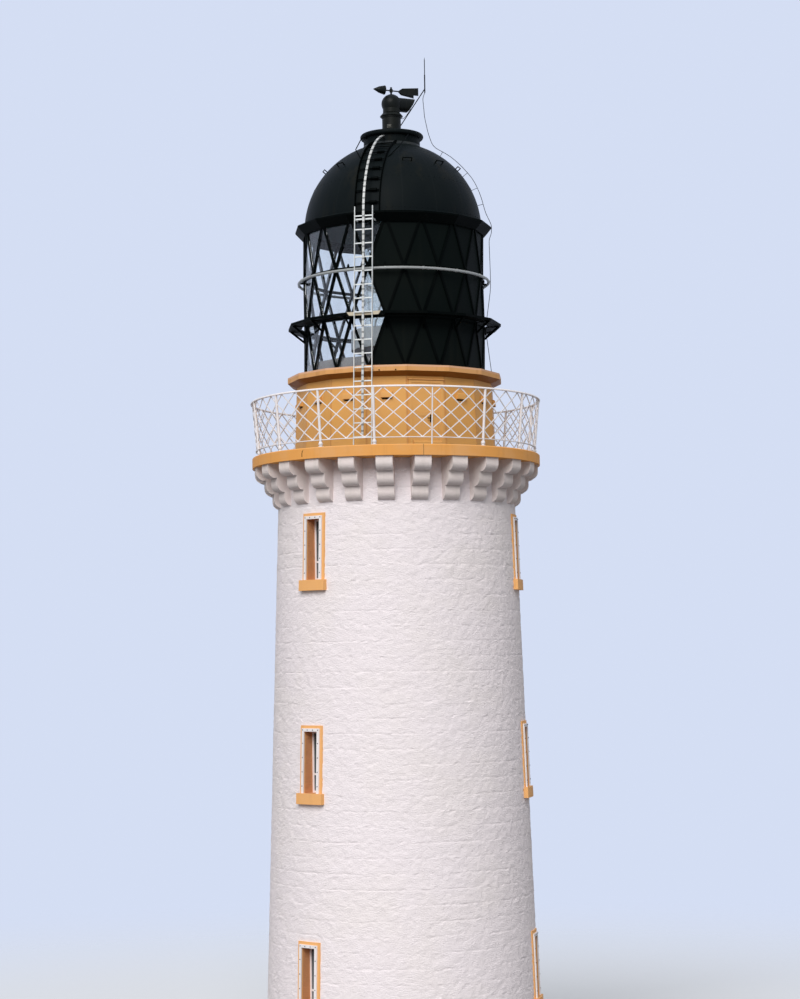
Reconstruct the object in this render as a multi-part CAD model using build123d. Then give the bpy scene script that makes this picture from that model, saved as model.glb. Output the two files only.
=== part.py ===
from build123d import *
from math import acos, asin, atan2, cos, degrees, pi, radians, sin, sqrt
import os

# Heights are above the ground and radii are from the tower's axis, in millimetres.
# An azimuth is in degrees from the front of the tower (-Y), positive towards +X.

# Clearances
seat = 0.2
joint_gap = 2.0
rail_joint = 1.0
turning_gap = 15.0

# Tower wall
gallery_level = 12400.0
slab_thickness = 210.0
slab_radius = 2880.0
slab_arris = 18.0
corbel_height = 810.0
gallery_overhang = 520.0
wall_batter = 1 / 32
neck_wall_thickness = 510.0
bore_step = 100.0
wall_parts = 6
first_bay_azimuth = -42.0
floor_thickness = 150.0

# Windows and entrance
window_width = 340.0
window_height = 1170.0
window_sill_drop = 2285.0
window_margin = 115.0
window_margin_proud = 30.0
sill_height = 205.0
sill_overhang = 45.0
sill_proud = 95.0
casing_width = 60.0
casing_proud = 25.0
sash_setback = 180.0
sash_bar = 38.0
sash_thickness = 45.0
sash_crossbar_level = 350.0
glass_thickness = 8.0
door_azimuth = 138.0
door_width = 800.0
door_height = 1950.0
door_margin = 150.0
door_recess = 180.0
door_thickness = 55.0

# Corbels
corbel_count = 24
corbel_first_azimuth = -4.5
corbel_width = 320.0
corbel_setback = 45.0
corbel_upper_step = 190.0
corbel_lower_step = 160.0
corbel_nose = 150.0

# Gallery railing
bay_count = 16
post_first_azimuth = -8.25
post_edge_distance = 100.0
post_lean_reach = 100.0
post_size = 25.0
post_foot_flange = 52.0
post_foot_thickness = 14.0
post_knob = 42.0
post_knob_height = 62.0
thin_post_index = 1
thin_post_size = 13.0
railing_height = 1115.0
top_rail_width = 52.0
top_rail_height = 32.0
bottom_rail_level = 130.0
bottom_rail_width = 44.0
bottom_rail_height = 14.0
lattice_columns = 3
lattice_bar_width = 19.0
lattice_bar_thickness = 12.0

# Lantern base
side_count = 16
lantern_phase = 6.5
glazing_radius = 1830.0
base_projection = 150.0
base_taper = 50.0
base_height = 1400.0
base_thickness = 40.0
sole_projection = 330.0
sole_fascia = 115.0
sole_height = 200.0
sole_landing = 190.0
gallery_door_azimuth = 17.75
gallery_door_width = 590.0
gallery_door_threshold = 60.0
gallery_door_head_drop = 130.0
gallery_door_proud = 14.0
gallery_door_rail = 60.0
door_moulding_width = 55.0
door_moulding_proud = 24.0
door_handle_offset = 90.0
door_handle_height = 580.0
door_handle_width = 46.0
door_handle_length = 150.0
door_handle_plate = 6.0
door_lever_size = 18.0
door_lever_reach = 40.0
door_lever_length = 110.0
vent_width = 150.0
vent_height = 85.0
vent_reach = 48.0
vent_level = 975.0

# Lantern glazing
lower_tier_height = 1000.0
middle_tier_height = 975.0
upper_tier_height = 1005.0
glazing_depth = 60.0
glazing_bar = 50.0
pane_thickness = 10.0
pane_setback = 22.0
blank_first_azimuth = -4.75
curb_clearance = 12.0
curb_width = 60.0
curb_height = 240.0
ledge_projection = 320.0
ledge_width = 250.0
ledge_thickness = 50.0
ledge_bracket_drop = 250.0
ledge_bracket_bar = 34.0
ledge_bracket_plate = 14.0
handrail_height = 870.0
handrail_standoff = 85.0
handrail_pipe = 27.5
handrail_pipe_sides = 8
handrail_bracket = 10.0

# Lamp and lens
pedestal_radius = 300.0
pedestal_height = 2160.0
lens_table_radius = 870.0
lens_table_thickness = 390.0
lens_radius = 620.0
lens_wall = 60.0
lens_height = 1650.0
lens_rings = 6
lens_ring_relief = 28.0

# Dome
cornice_projection = 160.0
cornice_landing = 85.0
cornice_thickness = 45.0
cornice_lip = 30.0
cove_height = 150.0
cove_projection = 20.0
cove_clearance = 6.0
dome_setback = 40.0
dome_thickness = 40.0
dome_centre_rise = 5.0
dome_eye_radius = 300.0
drum_radius = 570.0
drum_wall = 30.0
drum_rise = 95.0
cap_overhang = 70.0
cap_thickness = 100.0
neck_pipe_radius = 190.0
neck_pipe_wall = 14.0
neck_foot_width = 45.0
neck_foot_height = 40.0
neck_height = 380.0
neck_flange_width = 15.0
neck_flange_height = 28.0
collar_radius = 232.0
collar_top_radius = 188.0
collar_height = 60.0
collar_lip = 8.0

# Turning cowl
ball_radius = 200.0
ball_rise = 205.0
cowl_wall = 9.0
throat_radius = 172.0
spout_radius = 143.0
spout_top_reach = 505.0
spout_bottom_reach = 345.0
spindle_radius = 20.0
spindle_rise = 145.0
spindle_socket = 70.0
thrust_radius = 45.0
thrust_height = 12.0
arrow_drop = 70.0
arrow_rod = 13.0
arrow_tip_reach = 395.0
arrow_head_length = 245.0
arrow_head_radius = 95.0
arrow_head_fullness = 0.68
arrow_point_radius = 6.0
arrow_hub_radius = 34.0
arrow_hub_height = 60.0
tail_start = 170.0
tail_length = 400.0
tail_height = 150.0
tail_spread = 14.0
tail_plate = 6.0
wind_azimuth = 115.0

# Lantern ladder and its fall arrest rail
ladder_foot_reach = 460.0
ladder_head_reach = 190.0
ladder_rise = 140.0
ladder_half_width = 180.0
stringer_depth = 46.0
stringer_plate = 12.0
first_rung_height = 210.0
rung_pitch = 270.0
rung_count = 17
rung_size = 22.0
ladder_arm_height = 30.0
lower_arm_drop = 60.0
upper_arm_drop = 110.0
step_plate_top = 690.0
step_plate_bottom = 590.0
step_plate_height = 70.0
step_plate_thickness = 6.0
arrest_rail_width = 44.0
arrest_rail_thickness = 20.0
arrest_rail_foot = 250.0
arrest_arc_drop = 105.0
arrest_arc_standoff = 230.0

# Ladder, grips and rails on the dome
dome_ladder_half_width = 250.0
dome_stringer_plate = 12.0
dome_stringer_depth = 60.0
tread_first_angle = 8.0
tread_step_angle = 8.2
tread_count = 8
tread_depth = 44.0
tread_thickness = 9.0
grip_ring_radius = 1360.0
grip_first_azimuth = -17.5
grip_count = 12
grip_width = 180.0
grip_height = 75.0
grip_bar = 16.0
grab_rail_size = 10.0
grab_rail_bend = 70.0
grab_rail_head_turn = 45.5
grab_rail_head_reach = 115.0
grab_rail_knee_angle = 55.2
grab_rail_knee_spread = 450.0
grab_rail_knee_standoff = 86.0
grab_rail_foot_angle = 44.4
grab_rail_foot_spread = 270.0
grab_rail_foot_depth = 5.0

# Lightning conductor
terminal_azimuth = 90.0
terminal_reach = 685.0
terminal_foot_rise = 490.0
terminal_stem_length = 370.0
terminal_rod_length = 360.0
terminal_radius = 12.0
terminal_rod_radius = 8.0
terminal_point_length = 60.0
terminal_point_radius = 2.0
stay_radius = 10.0
stay_foot_drop = 175.0
stay_head_rise = 80.0
conductor_radius = 6.0
bond_radius = 5.0
clip_radius = 5.0


def above(height):
    return gallery_level + height


def toward(azimuth):
    """Turn a piece that is modelled towards +X to an azimuth."""
    return Rot(0, 0, azimuth - 90)


def pattern(piece, azimuths):
    return [toward(azimuth) * piece for azimuth in azimuths]


def steps(first, count):
    return [first + 360 / count * index for index in range(count)]


def turned(points):
    """Turn a closed outline of radius and height round the tower's axis."""
    return revolve(Plane.XZ * Polygon(*points, align=None), Axis.Z)


def save(name, pieces):
    """Write one node; a list becomes solids that don't touch."""
    shape = Compound(children=list(pieces)) if isinstance(pieces, list) else pieces
    export_step(shape, f"parts/{name}.step")


# Tower wall

neck_radius = slab_radius - gallery_overhang
upper_bore_radius = neck_radius - neck_wall_thickness
storey_bores = {
    "ground": upper_bore_radius - 2 * bore_step,
    "middle": upper_bore_radius - bore_step,
    "upper": upper_bore_radius,
}
wall_top = gallery_level - slab_thickness
corbel_bottom = wall_top - corbel_height
storey_names = list(storey_bores)
storey_height = wall_top / len(storey_names)


def wall_radius(level, proud=0.0):
    return neck_radius + (corbel_bottom - level) * wall_batter + proud


def wall_cone(low, high, proud):
    return turned([
        (0, low),
        (wall_radius(low, proud), low),
        (wall_radius(high, proud), high),
        (0, high),
    ])


def storey_levels(index):
    return storey_height * index, storey_height * (index + 1)


def wall_part(index, azimuth):
    low, high = storey_levels(index)
    bore = storey_bores[storey_names[index]]
    outline = Polygon(
        (bore, low), (wall_radius(low), low), (wall_radius(high), high), (bore, high), align=None
    )
    sweep = 360 / wall_parts
    return Rot(0, 0, azimuth - 90 - sweep / 2) * revolve(Plane.XZ * outline, Axis.Z, sweep)


def radial_block(azimuth, width, height, bottom):
    """A block that reaches from the axis out past the wall."""
    reach = 2 * neck_radius
    block = Pos(reach / 2, 0, bottom + height / 2) * Box(reach, width, height)
    return toward(azimuth) * block


def window_sill_top(index):
    return storey_levels(index)[1] - window_sill_drop


bay_azimuths = steps(first_bay_azimuth, wall_parts // 2)
pier_azimuths = [azimuth + 360 / wall_parts for azimuth in bay_azimuths]


def build_walls():
    doorway = radial_block(door_azimuth, door_width, door_height, floor_thickness)
    for index, name in enumerate(storey_names):
        bottom = window_sill_top(index)
        openings = [radial_block(azimuth, window_width, window_height, bottom) for azimuth in bay_azimuths]
        if index == 0:
            openings.append(doorway)
        save(f"{name}_wall_bays", [wall_part(index, azimuth) - openings for azimuth in bay_azimuths])
        save(f"{name}_wall_piers", [wall_part(index, azimuth) - openings for azimuth in pier_azimuths])


def build_floors():
    floors = []
    for index, name in enumerate(storey_names):
        low = storey_levels(index)[0]
        radius = storey_bores[name] - seat
        floors.append(Pos(0, 0, low + floor_thickness / 2) * Cylinder(radius, floor_thickness))
    save("storey_floors", floors)


def raised_margin(azimuth, size, bottom, width, front, back=seat):
    """Three bars round an opening, between two distances in front of the battered wall."""
    opening_width, opening_height = size
    high = bottom + opening_height + width
    outer = radial_block(azimuth, opening_width + 2 * width, opening_height + width, bottom)
    opening = radial_block(azimuth, opening_width, opening_height, bottom)
    face = wall_cone(bottom, high, front) - wall_cone(bottom, high, back)
    return face & (outer - opening)


def window_sash():
    """A sash with a low crossbar and its two panes, standing on the sill."""
    sash = Pos(0, 0, window_height / 2) * Box(
        sash_thickness, window_width - 2 * seat, window_height - 2 * seat
    )
    glass = []
    light_width = window_width - 2 * sash_bar
    lights = [
        (sash_bar, sash_crossbar_level - sash_bar / 2),
        (sash_crossbar_level + sash_bar / 2, window_height - sash_bar),
    ]
    for low, high in lights:
        middle = Pos(0, 0, (low + high) / 2)
        sash = sash - middle * Box(2 * sash_thickness, light_width, high - low)
        glass.append(middle * Box(glass_thickness, light_width - 2 * seat, high - low - 2 * seat))
    return sash, glass


def build_windows():
    surrounds = []
    sills = []
    casings = []
    panes = []
    size = (window_width, window_height)
    sash, glass = window_sash()
    casing_back = window_margin_proud + seat
    casing_front = window_margin_proud + casing_proud
    sill_width = window_width + 2 * (window_margin + sill_overhang)
    for index in range(len(storey_names)):
        bottom = window_sill_top(index)
        sash_face = wall_radius(bottom + window_height) - sash_setback
        place = Pos(sash_face - sash_thickness / 2, 0, bottom)
        sill_bottom = bottom - sill_height
        sill_face = wall_cone(sill_bottom, bottom, sill_proud) - wall_cone(sill_bottom, bottom, seat)
        for azimuth in bay_azimuths:
            surrounds.append(raised_margin(azimuth, size, bottom, window_margin, window_margin_proud))
            casings.append(raised_margin(azimuth, size, bottom, casing_width, casing_front, casing_back))
            sills.append(sill_face & radial_block(azimuth, sill_width, sill_height, sill_bottom))
            casings.append(toward(azimuth) * place * sash)
            panes.extend(toward(azimuth) * place * pane for pane in glass)
    save("window_surrounds", surrounds)
    save("window_sills", sills)
    save("window_casings", casings)
    save("window_panes", panes)


def build_entrance():
    size = (door_width, door_height)
    save("door_surround", raised_margin(
        door_azimuth, size, floor_thickness, door_margin, window_margin_proud
    ))
    leaf = Box(door_thickness, door_width - 2 * seat, door_height - 2 * seat)
    face_radius = wall_radius(floor_thickness + door_height) - door_recess
    place = Pos(face_radius - door_thickness / 2, 0, floor_thickness + door_height / 2)
    save("entrance_door", toward(door_azimuth) * place * leaf)


# Gallery

corbel_setbacks = [
    corbel_setback,
    corbel_setback + corbel_upper_step,
    corbel_setback + corbel_upper_step + corbel_lower_step,
]


def corbel_piece():
    stage_height = corbel_height / len(corbel_setbacks)
    root_radius = wall_radius(wall_top) - 2 * corbel_nose
    edges = []
    top = wall_top
    start = (root_radius, wall_top)
    for setback in corbel_setbacks:
        face_radius = slab_radius - setback
        bottom = top - stage_height
        nose_centre = (face_radius - corbel_nose, bottom + corbel_nose)
        edges.append(Line(start, (face_radius, top)))
        edges.append(Line((face_radius, top), (face_radius, nose_centre[1])))
        edges.append(CenterArc(nose_centre, corbel_nose, 0, -90))
        start = (nose_centre[0], bottom)
        top = bottom
    edges.append(Line(start, (root_radius, top)))
    edges.append(Line((root_radius, top), (root_radius, wall_top)))
    outline = Plane.XZ * make_face(edges)
    stone = extrude(outline, amount=corbel_width / 2, both=True)
    return stone - wall_cone(corbel_bottom, wall_top, seat)


def build_gallery():
    save("corbels", pattern(corbel_piece(), steps(corbel_first_azimuth, corbel_count)))
    save("gallery_slab", turned([
        (0, wall_top),
        (slab_radius, wall_top),
        (slab_radius, gallery_level - slab_arris),
        (slab_radius - slab_arris, gallery_level),
        (0, gallery_level),
    ]))


# Gallery railing

post_foot_radius = slab_radius - post_edge_distance
post_head_radius = post_foot_radius + post_lean_reach
rail_underside = railing_height - top_rail_height
post_lean = degrees(atan2(post_head_radius - post_foot_radius, rail_underside))


def railing_radius(height):
    return post_foot_radius + (post_head_radius - post_foot_radius) * height / rail_underside


def post_stem(radius):
    length = 3 * rail_underside
    stem = Pos(post_foot_radius, 0, 0) * Rot(0, post_lean, 0) * Cylinder(radius, length)
    keep = Pos(post_foot_radius, 0, rail_underside / 2) * Box(length, length, rail_underside)
    return stem & keep


def post_piece():
    """A post on a foot flange, with a turned knob under the bottom rail."""
    knob = Pos(railing_radius(post_knob_height), 0, post_knob_height) * turned([
        (0, -post_knob),
        (post_knob / 2, -post_knob),
        (post_knob, -post_knob / 3),
        (post_knob, post_knob / 3),
        (post_knob / 2, post_knob),
        (0, post_knob),
    ])
    flange = Pos(post_foot_radius, 0, post_foot_thickness / 2) * Cylinder(
        post_foot_flange, post_foot_thickness
    )
    return Pos(0, 0, gallery_level) * (post_stem(post_size) + knob + flange)


def thin_post_piece():
    """The slender post where the railing was joined."""
    return Pos(0, 0, gallery_level) * post_stem(thin_post_size)


def rail_arc(outline, trim):
    """A rail between two posts, less a trim at each end."""
    bay = 360 / bay_count
    sweep = bay - 2 * trim
    arc = revolve(Plane.XZ * outline, Axis.Z, sweep)
    return Pos(0, 0, gallery_level) * Rot(0, 0, -sweep / 2) * arc


def lattice_cone(offset):
    """The leaning round of the railing, with one flat face for each diamond."""
    face_count = bay_count * lattice_columns
    stations = []
    for height in (bottom_rail_level + bottom_rail_height, rail_underside):
        outline = RegularPolygon(railing_radius(height) + offset, face_count, rotation=180 / face_count)
        stations.append(Plane.XY.offset(height) * outline)
    return loft(stations, ruled=True)


def lattice_piece():
    """Diamond bars of one bay, laid on the leaning round of the railing."""
    low = bottom_rail_level + bottom_rail_height
    high = rail_underside
    half_bay = 180 / bay_count
    pitch = 2 * half_bay / lattice_columns
    bars = []
    for direction in (-1, 1):
        for index in range(2 * lattice_columns):
            foot = direction * (pitch * (index + 0.5) - 3 * half_bay)
            head = foot + direction * 2 * half_bay
            foot_point = (railing_radius(low) * sin(radians(foot)), low)
            head_point = (railing_radius(high) * sin(radians(head)), high)
            run = (head_point[0] - foot_point[0], high - low)
            length = sqrt(run[0] ** 2 + run[1] ** 2)
            middle = ((foot_point[0] + head_point[0]) / 2, (low + high) / 2)
            turn = degrees(atan2(run[1], run[0]))
            bars.append(Pos(*middle) * Rot(0, 0, turn) * Rectangle(
                length + 2 * lattice_bar_width, lattice_bar_width
            ))
    end = post_size + seat
    low_half = railing_radius(low) * sin(radians(half_bay)) - end
    high_half = railing_radius(high) * sin(radians(half_bay)) - end
    bay_window = Polygon(
        (-low_half, low), (low_half, low), (high_half, high), (-high_half, high), align=None
    )
    mesh = Sketch() + bars
    mesh = mesh & bay_window
    block = extrude(Plane.YZ * mesh, amount=2 * max(post_foot_radius, post_head_radius))
    half = lattice_bar_thickness / 2
    return Pos(0, 0, gallery_level) * ((lattice_cone(half) - lattice_cone(-half)) & block)


def build_railing():
    post_azimuths = steps(post_first_azimuth, bay_count)
    bay_azimuth_list = steps(post_first_azimuth + 180 / bay_count, bay_count)
    thin_azimuth = post_azimuths.pop(thin_post_index)
    save("railing_posts", pattern(post_piece(), post_azimuths) + pattern(thin_post_piece(), [thin_azimuth]))
    half_top = top_rail_width / 2
    crown = rail_underside + top_rail_height
    shoulder = rail_underside + top_rail_height / 2
    top_outline = Polygon(
        (post_head_radius - half_top, rail_underside),
        (post_head_radius + half_top, rail_underside),
        (post_head_radius + half_top, shoulder),
        (post_head_radius + half_top / 2, crown),
        (post_head_radius - half_top / 2, crown),
        (post_head_radius - half_top, shoulder),
        align=None,
    )
    top_trim = degrees(rail_joint / 2 / post_head_radius)
    save("railing_top_rail", pattern(rail_arc(top_outline, top_trim), bay_azimuth_list))
    low_radius = railing_radius(bottom_rail_level)
    low_outline = Pos(low_radius, bottom_rail_level + bottom_rail_height / 2) * Rectangle(
        bottom_rail_width, bottom_rail_height
    )
    low_trim = degrees(asin((post_size + seat) / (low_radius - bottom_rail_width / 2)))
    save("railing_bottom_rail", pattern(rail_arc(low_outline, low_trim), bay_azimuth_list))
    save("railing_lattice", pattern(lattice_piece(), bay_azimuth_list))


# Sixteen-sided rings of the lantern

base_top_radius = glazing_radius + base_projection
base_bottom_radius = base_top_radius + base_taper
sole_radius = glazing_radius + sole_projection
gallery_door_height = base_height - gallery_door_threshold - gallery_door_head_drop
glazing_foot = base_height + sole_height
ledge_level = glazing_foot + lower_tier_height
glazing_middle = ledge_level + middle_tier_height
glazing_top = glazing_middle + upper_tier_height
glazing_levels = [glazing_foot, ledge_level, glazing_middle, glazing_top]
side_step = 360 / side_count
side_cosine = cos(radians(side_step / 2))
side_slope = sin(radians(side_step / 2)) / side_cosine
upper_phase = lantern_phase - side_step / 2


def sided(radius, level, phase):
    return Plane.XY.offset(above(level)) * RegularPolygon(radius, side_count, rotation=phase)


def sided_solid(stations, phase):
    """Straight-sided bodies stacked through stations of radius and level."""
    solid = None
    for (low_radius, low), (high_radius, high) in zip(stations, stations[1:]):
        if low_radius == high_radius:
            piece = extrude(sided(low_radius, low, phase), amount=high - low)
        else:
            piece = loft([sided(low_radius, low, phase), sided(high_radius, high, phase)], ruled=True)
        solid = piece if solid is None else solid + piece
    return solid


def castings(outer, inner, low, high, phase):
    """A ring in sixteen castings, with thin radial joints at its corners."""
    height = high - low
    slot = Box(2 * slab_radius, joint_gap, height)
    place = Pos(0, 0, above(low) + height / 2)
    slots = [place * toward(phase + side_step * index) * slot for index in range(side_count // 2)]
    return list((outer - [inner] - slots).solids())


# Lantern base

base_lean = degrees(atan2((base_bottom_radius - base_top_radius) * side_cosine, base_height))


def on_base_side(azimuth, height):
    """Frame on a leaning side: X out of the face, Z up the face."""
    face = (base_bottom_radius + (base_top_radius - base_bottom_radius) * height / base_height)
    return toward(azimuth) * Pos(face * side_cosine, 0, above(height)) * Rot(0, -base_lean, 0)


def build_base():
    outer = sided_solid([(base_bottom_radius, 0), (base_top_radius, base_height)], lantern_phase)
    inner = sided_solid([
        (base_bottom_radius - base_thickness, 0), (base_top_radius - base_thickness, base_height)
    ], lantern_phase)
    panels = castings(outer, inner, 0, base_height, lantern_phase)
    door_middle = gallery_door_threshold + gallery_door_height / 2
    place = on_base_side(gallery_door_azimuth, door_middle)
    hole = place * Box(4 * base_thickness, gallery_door_width, gallery_door_height)
    save("lantern_base_panels", [panel - hole for panel in panels])
    build_gallery_door(place)
    build_vents()
    sole_low = base_height
    fascia_low = glazing_foot - sole_fascia
    body = sided_solid([
        (base_top_radius, sole_low), (sole_radius, fascia_low), (sole_radius, glazing_foot)
    ], lantern_phase)
    sole_inner = glazing_radius - sole_landing
    hollow = sided_solid([(sole_inner, sole_low), (sole_inner, glazing_foot)], lantern_phase)
    save("lantern_sole", castings(body, hollow, sole_low, glazing_foot, lantern_phase))
    curb_radius = glazing_radius - glazing_depth - curb_clearance
    curb_top = glazing_foot + curb_height
    outside = sided_solid([(curb_radius, glazing_foot), (curb_radius, curb_top)], lantern_phase)
    inside = sided_solid([
        (curb_radius - curb_width, glazing_foot), (curb_radius - curb_width, curb_top)
    ], lantern_phase)
    save("lantern_curb", castings(outside, inside, glazing_foot, curb_top, lantern_phase))


def build_gallery_door(place):
    leaf = Pos(gallery_door_proud - base_thickness / 2, 0, 0) * Box(
        base_thickness, gallery_door_width - 2 * seat, gallery_door_height - 2 * seat
    )
    panel_height = (gallery_door_height - 3 * gallery_door_rail) / 2
    panel = Box(gallery_door_proud, gallery_door_width - 2 * gallery_door_rail, panel_height)
    rise = (panel_height + gallery_door_rail) / 2
    sunk = [Pos(gallery_door_proud, 0, side * rise) * panel for side in (-1, 1)]
    save("gallery_door", place * (leaf - sunk))
    outer_width = gallery_door_width + 2 * door_moulding_width
    frame = Pos(0, 0, door_moulding_width / 2) * Box(
        door_moulding_proud, outer_width, gallery_door_height + door_moulding_width
    )
    opening = Box(2 * door_moulding_proud, gallery_door_width, gallery_door_height)
    foot = Pos(0, 0, -gallery_door_height / 2) * Box(2 * door_moulding_proud, outer_width, 2 * seat)
    frame = frame - opening - foot
    save("gallery_door_frame", place * Pos(door_moulding_proud / 2 + seat, 0, 0) * frame)
    rise = gallery_door_threshold + gallery_door_height / 2 - door_handle_height
    face = gallery_door_proud + seat
    handle = Pos(face, door_handle_offset, -rise)
    plate = Pos(door_handle_plate / 2, 0, 0) * Box(door_handle_plate, door_handle_width, door_handle_length)
    neck = Pos(door_lever_reach / 2, 0, 0) * Box(door_lever_reach, door_lever_size, door_lever_size)
    lever = Pos(door_lever_reach, (door_handle_width - door_lever_length) / 2, 0) * Box(
        door_lever_size, door_lever_length, door_lever_size
    )
    save("gallery_door_handle", place * handle * (plate + neck + lever))


def build_vents():
    hood_outline = Plane.XZ * Polygon(
        (0, -vent_height / 2), (vent_reach, -vent_height / 2), (vent_reach, 0),
        (vent_reach / 3, vent_height / 2), (0, vent_height / 2), align=None
    )
    hood = extrude(hood_outline, amount=vent_width / 2, both=True)
    slot_height = vent_height / 3
    slot = Pos(vent_reach / 2, 0, -vent_height / 2 + slot_height / 2) * Box(
        vent_reach, vent_width - 2 * vent_reach / 3, slot_height
    )
    hoods = []
    for azimuth in steps(gallery_door_azimuth, side_count)[1:]:
        hoods.append(on_base_side(azimuth, vent_level) * (hood - slot))
    save("base_vents", hoods)


# Lantern glazing

def ring_points(radius, level, phase):
    points = []
    for azimuth in steps(phase, side_count):
        turn = radians(azimuth)
        points.append(Vector(radius * sin(turn), -radius * cos(turn), above(level)))
    return points


def polygon_face(points):
    return Face(Wire.make_polygon(points, close=True))


def tier_phases(tier):
    """Corners of one level stand half a side round from those of the next."""
    if tier == 1:
        return upper_phase, lantern_phase
    return lantern_phase, upper_phase


def tier_triangles(tier, radius):
    """Corner points of each triangle, with the azimuth of its middle."""
    low_phase, high_phase = tier_phases(tier)
    low = ring_points(radius, glazing_levels[tier], low_phase)
    high = ring_points(radius, glazing_levels[tier + 1], high_phase)
    ahead = 1 if high_phase > low_phase else 0
    triangles = []
    for index in range(side_count):
        following = (index + 1) % side_count
        apex = high[(index + 1 - ahead) % side_count]
        triangles.append(([low[index], low[following], apex],
                          low_phase + side_step * (index + 0.5)))
        foot = low[(index + ahead) % side_count]
        triangles.append(([high[following], high[index], foot],
                          high_phase + side_step * (index + 0.5)))
    return triangles, low, high


def tier_solid(tier, radius):
    triangles, low, high = tier_triangles(tier, radius)
    faces = [polygon_face(corners) for corners, azimuth in triangles]
    faces.append(polygon_face(low))
    faces.append(polygon_face(high))
    return Solid(Shell(faces))


def inset(corners, distance):
    """The triangle inside a triangle, at one distance from every side."""
    a, b, c = corners
    sides = [(b - c).length, (c - a).length, (a - b).length]
    centre = (a * sides[0] + b * sides[1] + c * sides[2]) / sum(sides)
    half = sum(sides) / 2
    area = sqrt(half * (half - sides[0]) * (half - sides[1]) * (half - sides[2]))
    share = 1 - distance * half / area
    return [centre + (corner - centre) * share for corner in corners]


def outward(corners):
    a, b, c = corners
    normal = (b - a).cross(c - a).normalized()
    middle = (a + b + c) / 3
    return normal if normal.dot(Vector(middle.X, middle.Y, 0)) > 0 else normal * -1


def triangle_prism(corners, normal, front, back):
    """A triangle moved to front and thickened inwards to back."""
    face = polygon_face([corner + normal * front for corner in corners])
    return extrude(face, amount=front - back, dir=normal * -1)


def bar_joints(tier):
    """Thin slots along the slanting bars, where each casting meets the next."""
    joints = []
    for corners, azimuth in tier_triangles(tier, glazing_radius)[0]:
        for end in corners[:2]:
            apex = corners[2]
            middle = (end + apex) / 2
            run = apex - end
            plane = Plane(middle, x_dir=run.normalized(), z_dir=Vector(middle.X, middle.Y, 0).normalized())
            joints.append(plane * Box(2 * run.length, rail_joint, 4 * glazing_depth))
    return joints[::2]


def is_blank(azimuth):
    turn = (azimuth - blank_first_azimuth + side_step / 4) % 360
    return turn < 180


def build_glazing():
    panes = []
    blanks = []
    for tier, name in enumerate(["lower", "middle", "upper"]):
        lights = []
        for corners, azimuth in tier_triangles(tier, glazing_radius)[0]:
            normal = outward(corners)
            light = inset(corners, glazing_bar / 2)
            lights.append(triangle_prism(light, normal, glazing_depth, -3 * glazing_depth))
            sheet = inset(corners, glazing_bar / 2 + seat)
            front = -pane_setback
            pane = triangle_prism(sheet, normal, front, front - pane_thickness)
            if is_blank(azimuth):
                blanks.append(pane)
            else:
                panes.append(pane)
        ring = tier_solid(tier, glazing_radius) - tier_solid(tier, glazing_radius - glazing_depth)
        frame = ring - lights - bar_joints(tier)
        save(f"glazing_frame_{name}", list(frame.solids()))
    save("clear_panes", panes)
    save("blank_panels", blanks)


# Cleaning ledge and handrail

def build_ledge():
    low = ledge_level
    high = low + ledge_thickness
    ledge_radius = glazing_radius + ledge_projection
    outer = sided_solid([(ledge_radius, low), (ledge_radius, high)], upper_phase)
    inner = sided_solid([(ledge_radius - ledge_width, low), (ledge_radius - ledge_width, high)], upper_phase)
    save("cleaning_ledge", castings(outer, inner, low, high, upper_phase))
    root = glazing_radius + seat
    tip = ledge_radius - ledge_bracket_bar
    bar = ledge_bracket_bar
    top = above(low)
    foot = top - ledge_bracket_drop
    outline = Polygon((root, top), (tip, top), (tip, top - bar / 2), (root, foot), align=None)
    opening = Polygon(
        (root + bar / 2, top - bar / 2), (tip - 2 * bar, top - bar / 2), (root + bar / 2, foot + 2 * bar),
        align=None
    )
    bracket = extrude(Plane.XZ * (outline - opening), amount=ledge_bracket_plate / 2, both=True)
    save("ledge_brackets", pattern(bracket, steps(upper_phase, side_count)))


handrail_radius = glazing_radius + handrail_standoff


def build_handrail():
    level = ledge_level + ledge_thickness + handrail_height
    radius = handrail_radius
    pipe_section = RegularPolygon(handrail_pipe, handrail_pipe_sides, rotation=180 / handrail_pipe_sides)
    pipe = Plane.XZ * Pos(radius, above(level)) * pipe_section
    trim = degrees(rail_joint / 2 / radius)
    sweep = side_step - 2 * trim
    arc = Rot(0, 0, -sweep / 2) * revolve(pipe, Axis.Z, sweep)
    save("lantern_handrail", pattern(arc, steps(upper_phase, side_count)))
    stud_top = level + 2 * handrail_bracket
    drop = (glazing_middle - stud_top) / middle_tier_height
    root = glazing_radius * (1 - drop * (1 - side_cosine)) + seat
    pipe_face = handrail_pipe * cos(radians(180 / handrail_pipe_sides))
    reach = radius - pipe_face - seat - root
    stud = Pos(root + reach / 2, 0, above(level)) * Box(
        reach, 2 * handrail_bracket, 4 * handrail_bracket
    )
    save("handrail_brackets", pattern(stud, steps(lantern_phase, side_count)))


# Lamp and lens

def build_lens():
    save("lamp_pedestal", Pos(0, 0, above(pedestal_height / 2)) * Cylinder(pedestal_radius, pedestal_height))
    table_middle = above(pedestal_height + lens_table_thickness / 2)
    save("lens_table", Pos(0, 0, table_middle) * Cylinder(lens_table_radius, lens_table_thickness))
    foot = above(pedestal_height + lens_table_thickness)
    ring_height = lens_height / lens_rings
    outline = [(lens_radius - lens_wall, foot)]
    for index in range(lens_rings):
        low = foot + index * ring_height
        outline.append((lens_radius, low))
        outline.append((lens_radius - lens_ring_relief, low + ring_height))
    outline.append((lens_radius - lens_wall, foot + lens_height))
    save("lens_drum", turned(outline))


# Dome and ventilator

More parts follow.
